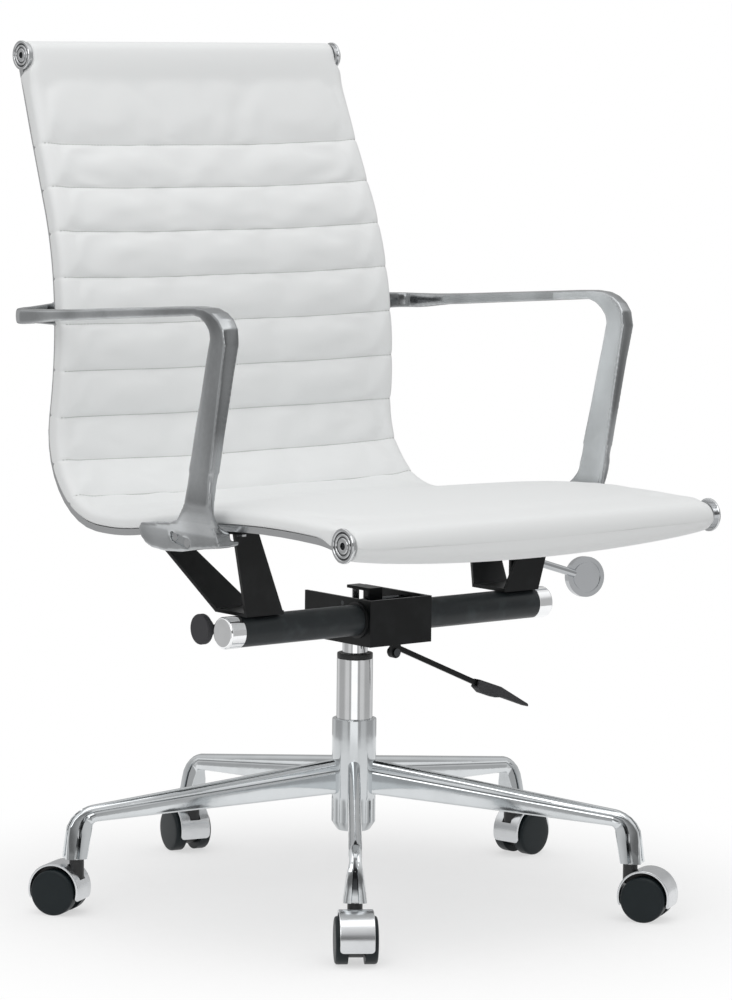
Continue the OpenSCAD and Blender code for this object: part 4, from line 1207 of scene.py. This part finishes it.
@dataclass
class EndDiscs:
    """Turned discs with concentric rings and a socket screw, on the ends of the sling's rods."""

    profile: SideProfile = field(default_factory=SideProfile)
    # Radius, height and painted shade of each edge of the turned face, darkest in the grooves and the screw's
    # socket
    outline: tuple[tuple[float, float, float], ...] = (
        (0.02, 0.0, 0), (15.6, 0.0, 0), (16.0, 0.4, 0), (16.0, 2.1, 0), (15.4, 2.7, 0), (13.5, 2.7, 0),
        (13.0, 2.3, 0.2), (12.6, 1.6, 0.9), (11.6, 1.6, 0.9), (11.2, 2.3, 0.2), (10.8, 2.6, 0), (9.4, 2.6, 0),
        (9.0, 2.2, 0.2), (8.7, 1.5, 0.8), (7.7, 1.5, 0.8), (7.3, 2.1, 0.2), (6.7, 2.5, 0), (3.9, 2.5, 0),
        (3.5, 2.2, 0.3), (3.3, 0.8, 1), (0.02, 0.8, 1),
    )
    # Size of the front and the top discs against the outline
    sizes: tuple[float, float] = (1.13, 1.02)
    sides: int = 56

    def dress(self) -> None:
        """Turns the four discs and hands them over as one piece."""
        made = []
        # Painted shade of each point, stored as recess
        groove_shades = [tone for _, _, tone in self.outline for _ in range(self.sides)]
        for place, size in zip((0.0, self.profile.length), self.sizes):
            y, z, _ = self.profile.at(place)
            x = self.profile.half_width(y, z)
            for side in (-1, 1):
                outline = [(radius * size * MM, height * MM) for radius, height, _ in self.outline]
                spot = np.array((side * x, y, z)) * MM
                made.append(Bench.lathe("end_discs_shape", outline, spot, (side, 0, 0), self.sides))
                Bench.store(made[-1], "recess", groove_shades)
        obj = Bench.joined(made)
        Bench.smooth(obj, 28)
        Bench.flatten(obj)
        Bench.deliver(obj, "seat", DISC_METAL, Slot.TRIM, ["end_discs", "end_disc_screws"])


@dataclass
class RoundedSet:
    """CAD nodes that are shown as rounded pieces of the same shape, with the body of each."""

    finish: Finish
    slot: Slot
    width: float
    nodes: dict[str, str]

    def dress(self) -> None:
        """Makes and hands over one rounded piece for each node."""
        for node, body in self.nodes.items():
            Bench.deliver(Bench.rounded(node, self.width), body, self.finish, self.slot, [node])


@dataclass
class StarBase:
    """The five-armed base: ridged arms with a crease, slotted legs and a fluted hub."""

    turn: float = -128.1
    arms: int = 5
    leg_out: float = 328.5
    lean: float = 2.6
    elbow: tuple[float, float, float] = (295.5, 86.3, 33.0)
    # Angle of each section round the elbow, and its share of a leg's shape
    elbow_steps: tuple[tuple[float, float], ...] = (
        (74, 0.06), (62, 0.24), (48, 0.5), (34, 0.78), (18, 0.95), (0, 1.0),
    )
    arm_half: float = 5.4
    leg_half: float = 12.6
    leg_z: float = 62.0
    flare_top: float = 115.0
    slot_ends: tuple[float, float] = (3.6, 1.0)
    slot_depth: float = 5.0
    # Height under which a leg's slot gets no painted shade
    slot_shade_foot: float = 72.0
    flutes: int = 15
    flute_depth: float = 0.9
    flute_ends: tuple[float, float] = (82.0, 113.0)
    hub_sides: int = 180
    # Upper and lower outline of an arm in side view: distance from the axis and height
    upper: tuple[tuple[float, float], ...] = ((14, 158.8), (300, 119.1))
    lower: tuple[tuple[float, float], ...] = ((14, 119.9), (294, 101.8))
    # Points of the elbow's and the leg's inner side, one for each of their sections
    inner: tuple[tuple[float, float], ...] = (
        (294.5, 101.8), (297.2, 101.2), (299.2, 99.6), (300.4, 97), (301.2, 93.5), (302.4, 88), (305, 76),
        (306.6, 68), (308, 62),
    )
    hub: tuple[tuple[float, float], ...] = (
        (10, 78), (17.8, 78), (18.5, 78.6), (24, 86.6), (24.5, 88), (24.5, 112), (24.5, 116), (24.5, 201.8),
        (24.2, 202.6), (23.4, 203), (20.2, 203), (20.2, 190),
    )

    def stations(self) -> list[tuple[np.ndarray, np.ndarray, float]]:
        """Lists an arm's sections.

        Returns:
            For each section the point on its outer side, the point on its inner side, and the share
            from 0 to 1 of a leg's shape over an arm's.
        """
        rows = []
        for share in np.linspace(0, 1, 26):
            outer = np.array(self.upper[0]) + share * (np.array(self.upper[1]) - self.upper[0])
            low = np.array(self.lower[0]) + share * (np.array(self.lower[1]) - self.lower[0])
            rows.append((outer, low, 0.0))
        x, z, radius = self.elbow
        for (turn, share), point in zip(self.elbow_steps, self.inner):
            angle = math.radians(turn)
            outer = np.array((x + radius * math.cos(angle), z + radius * math.sin(angle)))
            rows.append((outer, np.array(point), share))
        for height, point in zip((76, 68, self.leg_z), self.inner[6:]):
            rows.append((np.array((self.leg_out + self.lean * (z - height) / (z - self.leg_z), height)),
                         np.array(point), 1.0))
        return rows

    def half_outline(self, deep: float, crease: float, wide: float, leg: float, flare: float) -> np.ndarray:
        """Half of a section, from the middle of its outer side to the middle of its inner side.

        Args:
            deep: depth of the section.
            crease: depth of the crease.
            wide: half width of the section.
            leg: share of a leg's shape over an arm's.
            flare: share of the leg's flare, 1 at its foot.

        Returns:
            Distance from the middle plane and depth of each point.
        """
        slot = self.slot_ends[1] + (self.slot_ends[0] - self.slot_ends[1]) * flare
        floor = self.slot_depth
        ridge = [
            (0, 0), (1.2, 0.06), (2.2, 0.25), (3.2, 0.6), (4.2, 1.2), (5.2, 2.2), (6.1, 3.7), (6.7, 5.2),
            (6.9, crease - 2.4), (6.2, crease - 1), (5.5, crease), (6.3, crease + 1.2), (7.0, crease + 3),
            (7.2, deep - 2.2), (6.7, deep - 0.7), (5.5, deep), (0, deep),
        ]
        groove, middle, gap = 3.2 + 1.8 * flare, 0.47 * deep, 1.5 + 1.5 * flare
        walls = [
            (0, floor), (slot - 0.4, floor), (slot, floor - 0.4), (slot, 0.9), (slot + 0.6, 0.1),
            (max(0.6 * wide, slot + 1.2), 0), (0.86 * wide, 0.5), (0.96 * wide, 1.7), (wide, middle - gap),
            (wide - 0.9 * groove, middle - 0.6 * gap), (wide - groove, middle),
            (wide - 0.9 * groove, middle + 0.6 * gap), (wide, middle + gap), (wide, deep - 2.2),
            (wide - 0.7, deep - 0.7), (wide - 2.2, deep), (0, deep),
        ]
        return np.array(ridge) * (1 - leg) + np.array(walls) * leg

    def arm(self, angle: float) -> bpy.types.Object:
        """Lofts one arm with its leg.

        Args:
            angle: the arm's direction in radians.

        Returns:
            The arm.
        """
        rings, dark = [], []
        for outer, inner, leg in self.stations():
            deep = float(np.linalg.norm(inner - outer))
            down = (inner - outer) / deep
            height = min(max(float(outer[1]), self.leg_z), self.flare_top)
            flare = (self.flare_top - height) / (self.flare_top - self.leg_z)
            wide = self.arm_half + (self.leg_half - self.arm_half) * flare
            half = self.half_outline(deep, 0.42 * deep if leg else 0.3 * deep + 1.5, wide, leg, flare)
            # Painted shade, stored as recess: near black on the floor of a leg's slot and in its side groove,
            # and a dark line in an arm's crease
            slot_shade = leg * (0.95 if height > self.slot_shade_foot else 0.0)
            shade = np.zeros(len(half))
            shade[:3] = slot_shade
            shade[9:12] = slot_shade * 0.95
            shade[10] = max(shade[10], 0.75 * (1 - leg))
            points = []
            for side, depth in list(half) + [(-side, depth) for side, depth in half[-2:0:-1]]:
                spot = outer + down * depth
                points.append((spot[0] * math.cos(angle) - side * math.sin(angle),
                               spot[0] * math.sin(angle) + side * math.cos(angle), spot[1]))
            rings.append(np.array(points) * MM)
            dark += [*shade, *shade[-2:0:-1]]
        obj = Bench.loft("star_base_shape", rings)
        Bench.store(obj, "recess", dark)
        return obj

    def sleeve(self) -> bpy.types.Object:
        """Lofts the hub with its flutes.

        Returns:
            The hub.
        """
        rings, dark = [], []
        angles = np.arange(self.hub_sides) * 2 * math.pi / self.hub_sides
        wave = 0.5 - 0.5 * np.cos(self.flutes * angles)
        for radius, height in self.hub:
            fluted = 1.0 if self.flute_ends[0] < height < self.flute_ends[1] else 0.0
            reach = radius - self.flute_depth * fluted * wave
            level = np.full(self.hub_sides, height)
            rings.append(np.c_[reach * np.cos(angles), reach * np.sin(angles), level] * MM)
            # A slight darkening over the whole hub, and painted shade in the hollows of the flutes, stored as
            # recess
            dark += list(0.12 + 0.42 * fluted * wave ** 2)
        obj = Bench.loft("star_base_hub", rings)
        Bench.store(obj, "recess", dark)
        return obj

    def dress(self) -> None:
        """Builds the base and hands it over."""
        arms = [self.arm(math.radians(self.turn + 360 / self.arms * k)) for k in range(self.arms)]
        obj = Bench.joined([*arms, self.sleeve()])
        Bench.smooth(obj, 38)
        Bench.flatten(obj)
        Bench.deliver(obj, "base", BASE_METAL, Slot.BASE, ["star_base"])


@dataclass
class Armrests:
    """The two loop armrests: a lofted bar and upright that flow into the foot. Sizes in millimetres."""

    voxel: float = 1.5
    rounds: int = 3
    foot_top: float = 484.0
    foot_rounds: int = 12
    knee_low: float = 440.0
    knee_rounds: int = 30
    bulges: tuple[float, float, float, float] = (1.5, 0.8, 0.7, 1.2)
    screws: tuple[tuple[float, float], ...] = ((-45.0, 420.0), (-22.0, 425.0))
    slot_radius: float = 5.6
    slot_floor: float = 262.9
    slot_out: float = 290.0
    # Corners of each section: outer top, inner top, inner bottom and outer bottom
    sections: tuple[tuple[Corner, Corner, Corner, Corner], ...] = (
        ((209, 266.6, 656.2), (209, 257.1, 657), (209, 254.6, 629.8), (209, 264, 629)),
        ((225, 266.4, 654.5), (225, 257, 655.4), (225, 254.7, 631.4), (225, 264.2, 630.5)),
        ((240, 266.3, 652.8), (240, 256.8, 653.7), (240, 254.9, 633.1), (240, 264.3, 632.2)),
        ((256, 266.1, 651.2), (255, 256.6, 652), (255, 255.2, 634.8), (256, 264.8, 634)),
        ((268.5, 264, 651), (263, 255.5, 651.6), (263, 254.5, 635), (268.5, 263, 634.3)),
        ((277.4, 258, 651), (269.5, 251.5, 651.4), (269.5, 251, 635), (277.4, 257.5, 634.5)),
        ((283, 249, 651), (273.5, 245.5, 651.4), (273.5, 245.2, 635.2), (283, 248.7, 634.8)),
        ((284.8, 240, 651.2), (274.4, 238.5, 651.4), (274.4, 238.5, 635.5), (284.8, 240, 635)),
        ((285, 222, 652), (272.2, 222, 652), (272.2, 222, 636.9), (285, 222, 636.6)),
        ((285, 200, 652.9), (269.1, 200, 652.9), (269.1, 200, 639.6), (285, 200, 639.4)),
        ((285, 176, 654.3), (266.3, 176, 654.3), (266.3, 176, 642.6), (285, 176, 642.4)),
        ((285, 140, 656.6), (266, 140, 656.6), (266, 140, 645.4), (285, 140, 645.2)),
        ((285, 80, 661.1), (266, 80, 661.1), (266, 80, 650.4), (285, 80, 650.2)),
        ((285, 0, 666.9), (266, 0, 666.9), (266, 0, 656.8), (285, 0, 656.7)),
        ((285, -55, 671), (266, -55, 671), (266, -55, 661.3), (285, -55, 661.2)),
        ((285, -84, 672.6), (266, -86, 673), (266, -78, 662.8), (285, -79, 663.4)),
        ((285, -100, 671.6), (266, -105, 672.3), (266, -90, 659.5), (285, -91, 661.8)),
        ((285, -112.5, 668), (266, -118, 668.8), (266, -99.5, 653.5), (285, -100.5, 656.5)),
        ((285, -124, 661), (266, -129.5, 662), (266, -106.5, 646), (285, -107.5, 649)),
        ((285, -132, 651.5), (266, -136.8, 652.3), (266, -108.7, 638), (285, -109, 641)),
        ((285, -135.6, 636), (266.1, -138.4, 637), (266.1, -106, 628), (285, -105.9, 630)),
        ((284.1, -127.3, 600), (267, -130.5, 600), (267, -97.8, 600), (284.1, -97.4, 600)),
        ((283.2, -119, 560), (267.9, -122.1, 560), (267.9, -86.4, 560), (283.2, -86.1, 560)),
        ((282.2, -111, 520), (268.8, -113.8, 520), (268.8, -75, 520), (282.2, -74.8, 520)),
        ((281.3, -103.2, 480), (269.7, -105.5, 480), (269.7, -63.6, 480), (281.3, -63.4, 480)),
        ((281, -101, 466), (270, -103, 466), (270, -59, 466), (281, -59, 466)),
    )

    def ring(self, corners: Sequence[Corner], swell: float) -> np.ndarray:
        """Draws one section with its faces swelling between softened corners.

        Args:
            corners: the section's four corners.
            swell: share of the faces' swelling.

        Returns:
            The section's points in metres.
        """
        spots = np.array(corners)
        middle = spots.mean(axis=0)
        points = []
        for k, bulge in enumerate(self.bulges):
            start, end = spots[k], spots[(k + 1) % 4]
            outward = (start + end) / 2 - middle
            outward /= np.linalg.norm(outward)
            for share in (0.06, 0.24, 0.5, 0.76, 0.94):
                raised = swell * bulge * (4 * share * (1 - share) - 0.5)
                points.append(start + (end - start) * share + outward * raised)
        return np.array(points) * MM

    def slot_tool(self) -> bpy.types.Object:
        """Models the shape that cuts the slot over the two screws."""
        (y0, z0), (y1, z1) = self.screws
        lean = math.atan2(z1 - z0, y1 - y0)
        outline = []
        for y, z, first in ((y1, z1, lean - math.pi / 2), (y0, z0, lean + math.pi / 2)):
            for k in range(13):
                turn = first + math.pi * k / 12
                outline.append((y + self.slot_radius * math.cos(turn), z + self.slot_radius * math.sin(turn)))
        rings = [np.array([(x, y, z) for y, z in outline]) * MM for x in (self.slot_floor, self.slot_out)]
        return Bench.loft("slot_tool", rings)

    @staticmethod
    def even(obj: bpy.types.Object, rounds: int, below: float = math.inf, above: float = -math.inf) -> None:
        """Evens a piece's surface between two heights.

        Args:
            obj: the piece.
            rounds: number of passes.
            below: height under which points move.
            above: height over which points move.
        """
        group = obj.vertex_groups.new(name="evened")
        high = mesh_points(obj)[:, 2] / MM
        chosen = np.flatnonzero((high < below) & (high > above))
        group.add([int(index) for index in chosen], 1.0, "REPLACE")
        Bench.modify(obj, "SMOOTH", factor=0.5, iterations=rounds, vertex_group=group.name)
        obj.vertex_groups.clear()

    def build(self) -> bpy.types.Object:
        """Models the right armrest: its foot from the CAD shape, joined to the loop as one cast skin.

        Returns:
            The armrest.
        """
        foot = Bench.copied("right_armrest")
        with Bench.editing(foot):
            bpy.ops.mesh.select_all(action="SELECT")
            bpy.ops.mesh.bisect(
                plane_co=(0, 0, self.foot_top * MM), plane_no=(0, 0, 1), clear_outer=True, use_fill=True
            )
        last = len(self.sections) - 1
        swells = [min(1.0, k / 3, max(0, last - 1 - k) / 2) for k in range(last + 1)]
        loop = Bench.loft("arm_loop", [self.ring(*pair) for pair in zip(self.sections, swells)])
        obj = Bench.joined([foot, loop])
        Bench.modify(obj, "REMESH", mode="VOXEL", voxel_size=self.voxel * MM, adaptivity=0.0)
        self.even(obj, self.rounds)
        self.even(obj, self.foot_rounds, self.foot_top + 8)
        self.even(obj, self.knee_rounds, self.foot_top + 16, self.knee_low)
        Bench.cut(obj, self.slot_tool())
        self.shade(obj)
        Bench.smooth(obj, 45)
        return obj

    @staticmethod
    def shade(obj: bpy.types.Object) -> None:
        """Stores painted shade for each point: over the foot, round the knuckle and in front.

        The upright's inner face gets a painted reflection of the white sling and looks paler, which is a
        number below 0.

        Args:
            obj: the armrest.
        """
        x, y, z = (mesh_points(obj) / MM).T
        facing = np.empty(len(x) * 3)
        obj.data.vertices.foreach_get("normal", facing)
        face_x, face_y, _ = facing.reshape(-1, 3).T
        foot = 0.22 * np.exp(-((z - 462) / 15) ** 2) * (x > 273)
        knuckle = 0.34 * np.exp(-(np.hypot(y + 118, z - 660) / 22) ** 2)
        upright = np.clip((z - 520) / 25, 0, 1) * np.clip((662 - z) / 10, 0, 1)
        ahead = np.clip((-face_y - 0.6) / 0.25, 0, 1) * upright
        inner = np.clip((-face_x - 0.7) / 0.2, 0, 1) * np.clip((z - 445) / 20, 0, 1) * (y < -20)
        # Painted shade, less a painted reflection of the sling on the inner face
        dark = np.maximum(np.maximum(foot, knuckle), 0.46 * ahead)
        Bench.store(obj, "hollow", dark - 0.5 * inner * (1 - ahead))

    def dress(self) -> None:
        """Builds both armrests and hands them over."""
        right = self.build()
        left = Bench.added("left_armrest_shape", right.data.copy())
        left.data.vertices.foreach_set("co", (mesh_points(left) * (-1, 1, 1)).ravel())
        with Bench.editing(left):
            bpy.ops.mesh.select_all(action="SELECT")
            bpy.ops.mesh.flip_normals()
        Bench.deliver(right, "seat", ARM_METAL, Slot.ALUMINIUM, ["right_armrest"])
        Bench.deliver(left, "seat", ARM_METAL, Slot.ALUMINIUM, ["left_armrest"])


@dataclass
class CasterSet:
    """Hoods with softened rims and domed wheels for the five casters. Sizes are in millimetres."""

    # Hood: radii, rise over the axle, half width, radius of its corners, and its lower ends' angle
    radius: float = 29.6
    inner: float = 26.8
    rise: float = 2.2
    half: float = 18.2
    corner: float = 4.0
    end: float = -21.5
    # Notch for the neck: half width, lowest and highest place, and its reach along the hood
    notch_half: float = 6.6
    notch_low: float = 11.5
    notch_high: float = 40.0
    notch_reach: tuple[float, float] = (-52.5, -11.5)
    # Places of the sections round a hood's corner, as shares of it
    corner_steps: tuple[float, ...] = (0, 0.04, 0.14, 0.3, 0.5, 0.75, 1)
    # Radius and height of each edge of a wheel, from the face's plane outwards
    wheel: tuple[tuple[float, float], ...] = (
        (0.02, -13.9), (25.0, -13.9), (25.0, -3.4), (24.75, -2.2), (24.1, -1.3), (23.2, -0.75), (22.0, -0.5),
        (19.0, -0.3), (14.0, -0.12), (8.0, -0.04), (0.02, 0.0),
    )
    wheel_sides: int = 64

    @staticmethod
    def axes(k: int) -> tuple[np.ndarray, np.ndarray, np.ndarray]:
        """Finds a caster's axle from its two wheels.

        Args:
            k: number of the caster.

        Returns:
            The middle of the axle, the direction away from the stem, and the axle's direction.
        """
        wheels = [mesh_points(frame["nodes"][f"caster_{k}_wheel_{letter}"]) for letter in "ab"]
        first, second = ((spots.min(axis=0) + spots.max(axis=0)) / 2 for spots in wheels)
        middle = (first + second) / 2
        body = mesh_points(frame["nodes"][f"caster_{k}_body"])
        neck = body[body[:, 2] > body[:, 2].max() - 1 * MM].mean(axis=0)
        across = (second - first) / np.linalg.norm(second - first)
        ahead = np.cross(across, (0.0, 0.0, 1.0))
        if np.dot(ahead, neck - middle) > 0:
            ahead = -ahead
        return middle, ahead, across

    def hood(self, k: int) -> bpy.types.Object:
        """Lofts one hood and cuts the notch for the caster's neck.

        Args:
            k: number of the caster.

        Returns:
            The hood.
        """
        middle, ahead, across = self.axes(k)
        middle = middle + np.array((0, 0, self.rise * MM))
        start, stop = math.radians(self.end), math.radians(180 - self.end)
        soft = self.corner / self.radius
        turns = [start + soft * share for share in self.corner_steps]
        turns += list(np.linspace(start + soft, stop - soft, 40)[1:-1])
        turns += [stop - soft * share for share in reversed(self.corner_steps)]
        rings = []
        for turn in turns:
            near = min(turn - start, stop - turn) / soft
            half = self.half - self.corner * (1 - math.sqrt(max(0.0, 1 - max(0.0, 1 - near) ** 2)))
            thin = 0.35 if near < 0.02 else 0.0
            low, high = self.inner + thin, self.radius - thin
            outline = [
                (low, half - 0.5), (low + 0.5, half), (high - 0.9, half), (high - 0.25, half - 0.25),
                (high, half - 0.9), (high, 0.5 * half),
            ]
            outline += [(reach, -side) for reach, side in reversed(outline)]
            way = ahead * math.cos(turn) + np.array((0, 0, math.sin(turn)))
            rings.append(np.array([middle + (way * reach + across * side) * MM for reach, side in outline]))
        obj = Bench.loft(f"caster_{k}_hood_shape", rings)
        back, front = self.notch_reach
        corners = [(back, -1), (front, -1), (front, 1), (back, 1)]
        flat = [middle + (ahead * reach + across * side * self.notch_half) * MM for reach, side in corners]
        levels = [np.array((0, 0, height * MM)) for height in (self.notch_low, self.notch_high)]
        Bench.cut(obj, Bench.loft("notch_tool", [np.array(flat) + level for level in levels]))
        return obj

    def dress(self) -> None:
        """Builds the hoods and wheels and hands them over."""
        outline = [(radius * MM, height * MM) for radius, height in self.wheel]
        for k in CASTERS:
            hood = self.hood(k)
            Bench.smooth(hood, 40)
            Bench.flatten(hood)
            Bench.deliver(hood, f"caster_{k}", HOOD_METAL, Slot.HOOD, [f"caster_{k}_hood"])
            middle, _, across = self.axes(k)
            for letter, way in (("a", -across), ("b", across)):
                node = f"caster_{k}_wheel_{letter}"
                reach = float(np.max((mesh_points(frame["nodes"][node]) - middle) @ way))
                wheel = Bench.lathe(f"{node}_shape", outline, middle + way * reach, way, self.wheel_sides)
                Bench.smooth(wheel, 50)
                Bench.deliver(wheel, f"caster_{k}_{letter}", WHEEL_GREY, Slot.WHEEL, [node])


def dress_nodes() -> None:
    """Gives every CAD node that still shows the finish of its slot, and two pins a darker one."""
    for row in frame["record"]["subparts"]:
        dark = row["node"] in DARK_PINS
        finish = DARK_STEEL if dark else NODE_FINISH[Slot(row["material_slot"])]
        mesh = frame["nodes"][row["node"]].data
        mesh.materials.clear()
        mesh.materials.append(finish.material())


# ---- Studio ----


@dataclass
class Studio:
    """Floor, lamps, world and camera."""

    eye: tuple[float, float, float] = (-2.9177, -3.6598, 0.9672)
    azimuth: float = -38.56
    yaw: float = -0.13
    pitch: float = 6.36
    roll: float = 0.59
    lens: float = 153.87
    aim: tuple[float, float, float] = (0.0, 0.0, 0.5)

    def camera(self) -> None:
        """Places the camera."""
        data = bpy.data.cameras.new("camera")
        data.lens = self.lens
        data.sensor_width = 36.0
        data.sensor_fit = "AUTO"
        data.clip_end = 60.0
        obj = Bench.added("camera", data)
        heading = math.radians(self.azimuth + self.yaw)
        look = Euler((math.radians(90 - self.pitch), 0.0, heading)).to_matrix()
        tilt = Matrix.Rotation(math.radians(self.roll), 3, "Z")
        obj.matrix_world = Matrix.Translation(self.eye) @ (look @ tilt).to_4x4()
        bpy.context.scene.camera = obj

    def floor(self) -> None:
        """Lays a pale floor that fades to white away from the chair."""
        obj = Bench.disc("studio_floor", 96, 1.1)
        made = bpy.data.materials.new("studio_floor")
        made.use_nodes = True
        graph = Graph(made.node_tree)
        place = graph.coords()
        x = graph.axis(place, "X")
        y = graph.axis(place, "Y")
        reach = (x * x + y * y) ** 0.5
        path = graph.node("ShaderNodeLightPath")
        seen = Value(graph, path.outputs["Is Camera Ray"])
        seen = seen.math("MAXIMUM", Value(graph, path.outputs["Is Glossy Ray"]))
        shade = graph.tint(graph.noise(40, 2), (0.91, 0.91, 0.91), (0.94, 0.94, 0.94))
        plain = graph.node("ShaderNodeBsdfDiffuse", {}, {"Color": shade})
        glow = graph.node("ShaderNodeEmission", {}, {"Color": (1, 1, 1, 1), "Strength": 1.0})
        fade = (0.5 + reach.band(0.22, 0.66) * 0.5) * seen
        mix = graph.node("ShaderNodeMixShader", {}, {0: fade, 1: plain.outputs[0], 2: glow.outputs[0]})
        graph.node("ShaderNodeOutputMaterial", {}, {"Surface": mix.outputs[0]})
        obj.data.materials.append(made)

    def world(self) -> None:
        """Sets a soft surround: plain for matt surfaces, a light tent for shiny ones."""
        world = bpy.data.worlds.new("studio")
        world.use_nodes = True
        bpy.context.scene.world = world
        graph = Graph(world.node_tree)
        way = graph.node("ShaderNodeTexCoord").outputs["Generated"]
        up = graph.axis(way, "Z")
        x = graph.axis(way, "X")
        y = graph.axis(way, "Y")
        turn = math.radians(self.azimuth)
        toward = x * math.sin(turn) - y * math.cos(turn)
        across = x * math.cos(turn) + y * math.sin(turn)
        front = toward.band(0.0, 0.2) * (1 - (across + 0.02).math("ABSOLUTE").band(0.28, 0.4))
        wings = across.math("ABSOLUTE").band(0.5, 0.62) * (1 - across.math("ABSOLUTE").band(0.82, 0.96))
        level_strip = front * up.band(-0.5, -0.3) * (1 - up.band(0.0, 0.06))
        dusk = toward.band(0.84, 0.95) * up.band(-0.03, 0.06) * (1 - up.band(0.2, 0.5))
        tent = 0.46 + up.band(0.25, 0.9) * 0.42 + wings * 0.24
        tent = (tent + level_strip * (1.3 - tent)) * (1 - dusk * 0.65)
        path = graph.node("ShaderNodeLightPath")
        seen = Value(graph, path.outputs["Is Camera Ray"])
        shiny = Value(graph, path.outputs["Is Glossy Ray"])
        plain = 0.38 + up.band(-0.25, 0.02) * 0.28
        plain = plain + seen * (1 - plain)
        level = plain + shiny * (tent - plain)
        back = graph.node("ShaderNodeBackground", {}, {"Color": (1, 1, 1, 1), "Strength": level})
        graph.node("ShaderNodeOutputWorld", {}, {"Surface": back.outputs[0]})

    def lamp(self, name: str, place: Sequence[float], size: float, power: float) -> None:
        """Hangs one square soft lamp that faces the chair.

        Args:
            name: its name.
            place: where it hangs.
            size: length of its sides.
            power: its power in watts.
        """
        data = bpy.data.lights.new(name, "AREA")
        data.size = size
        data.energy = power
        obj = Bench.added(name, data)
        obj.location = place
        way = Vector(self.aim) - Vector(place)
        obj.rotation_euler = way.to_track_quat("-Z", "Y").to_euler()

    def build(self) -> None:
        """Sets the whole studio."""
        self.camera()
        self.floor()
        self.world()
        self.lamp("top_light", (-0.4, -0.6, 3.2), 2.6, 23.5)
        self.lamp("front_light", (-2.6, -1.6, 2.0), 1.6, 15)
        bpy.context.scene.view_settings.view_transform = "Standard"


def main() -> None:
    """Builds the chair piece by piece."""
    logging.basicConfig(level=logging.INFO, format="%(name)s: %(message)s")
    dress_nodes()
    assemblies = [
        Sling(),
        StarBase(),
        Armrests(),
        EndDiscs(),
        CasterSet(),
        RoundedSet(CHROME, Slot.COLUMN, 0.8 * MM, {"column_tube": "base", "gas_cylinder": "column"}),
        RoundedSet(GUIDE, Slot.GUIDE, 0.8 * MM, {"guide_sleeve": "base"}),
        RoundedSet(RAIL_METAL, Slot.ALUMINIUM, 0.7 * MM,
                   {"left_rail": "seat", "right_rail": "seat", "back_spreader": "seat"}),
        RoundedSet(ENAMEL, Slot.PAINT, 1.0 * MM, {
            "tilt_housing": "column", "left_bracket": "seat", "right_bracket": "seat",
            "release_plate": "release", "height_lever": "lever",
        }),
        RoundedSet(TUBE_ENAMEL, Slot.PAINT, 1.0 * MM, {"crossbar_tube": "seat"}),
        RoundedSet(GRIP, Slot.GRIP, 1.2 * MM, {"lever_paddle": "lever", "tension_knob": "knob"}),
        RoundedSet(BRIGHTENED_CAP_METAL, Slot.TRIM, 0.9 * MM, {"crossbar_caps": "seat"}),
        RoundedSet(KNOB_METAL, Slot.TRIM, 0.9 * MM, {"lock_disc": "lock", "lock_lever": "lock"}),
        RoundedSet(CASTER_BLACK, Slot.CASTER, 0.6 * MM, {f"caster_{k}_body": f"caster_{k}" for k in CASTERS}),
    ]
    for assembly in assemblies:
        assembly.dress()
    Studio().build()


if __name__ == "__main__":
    main()
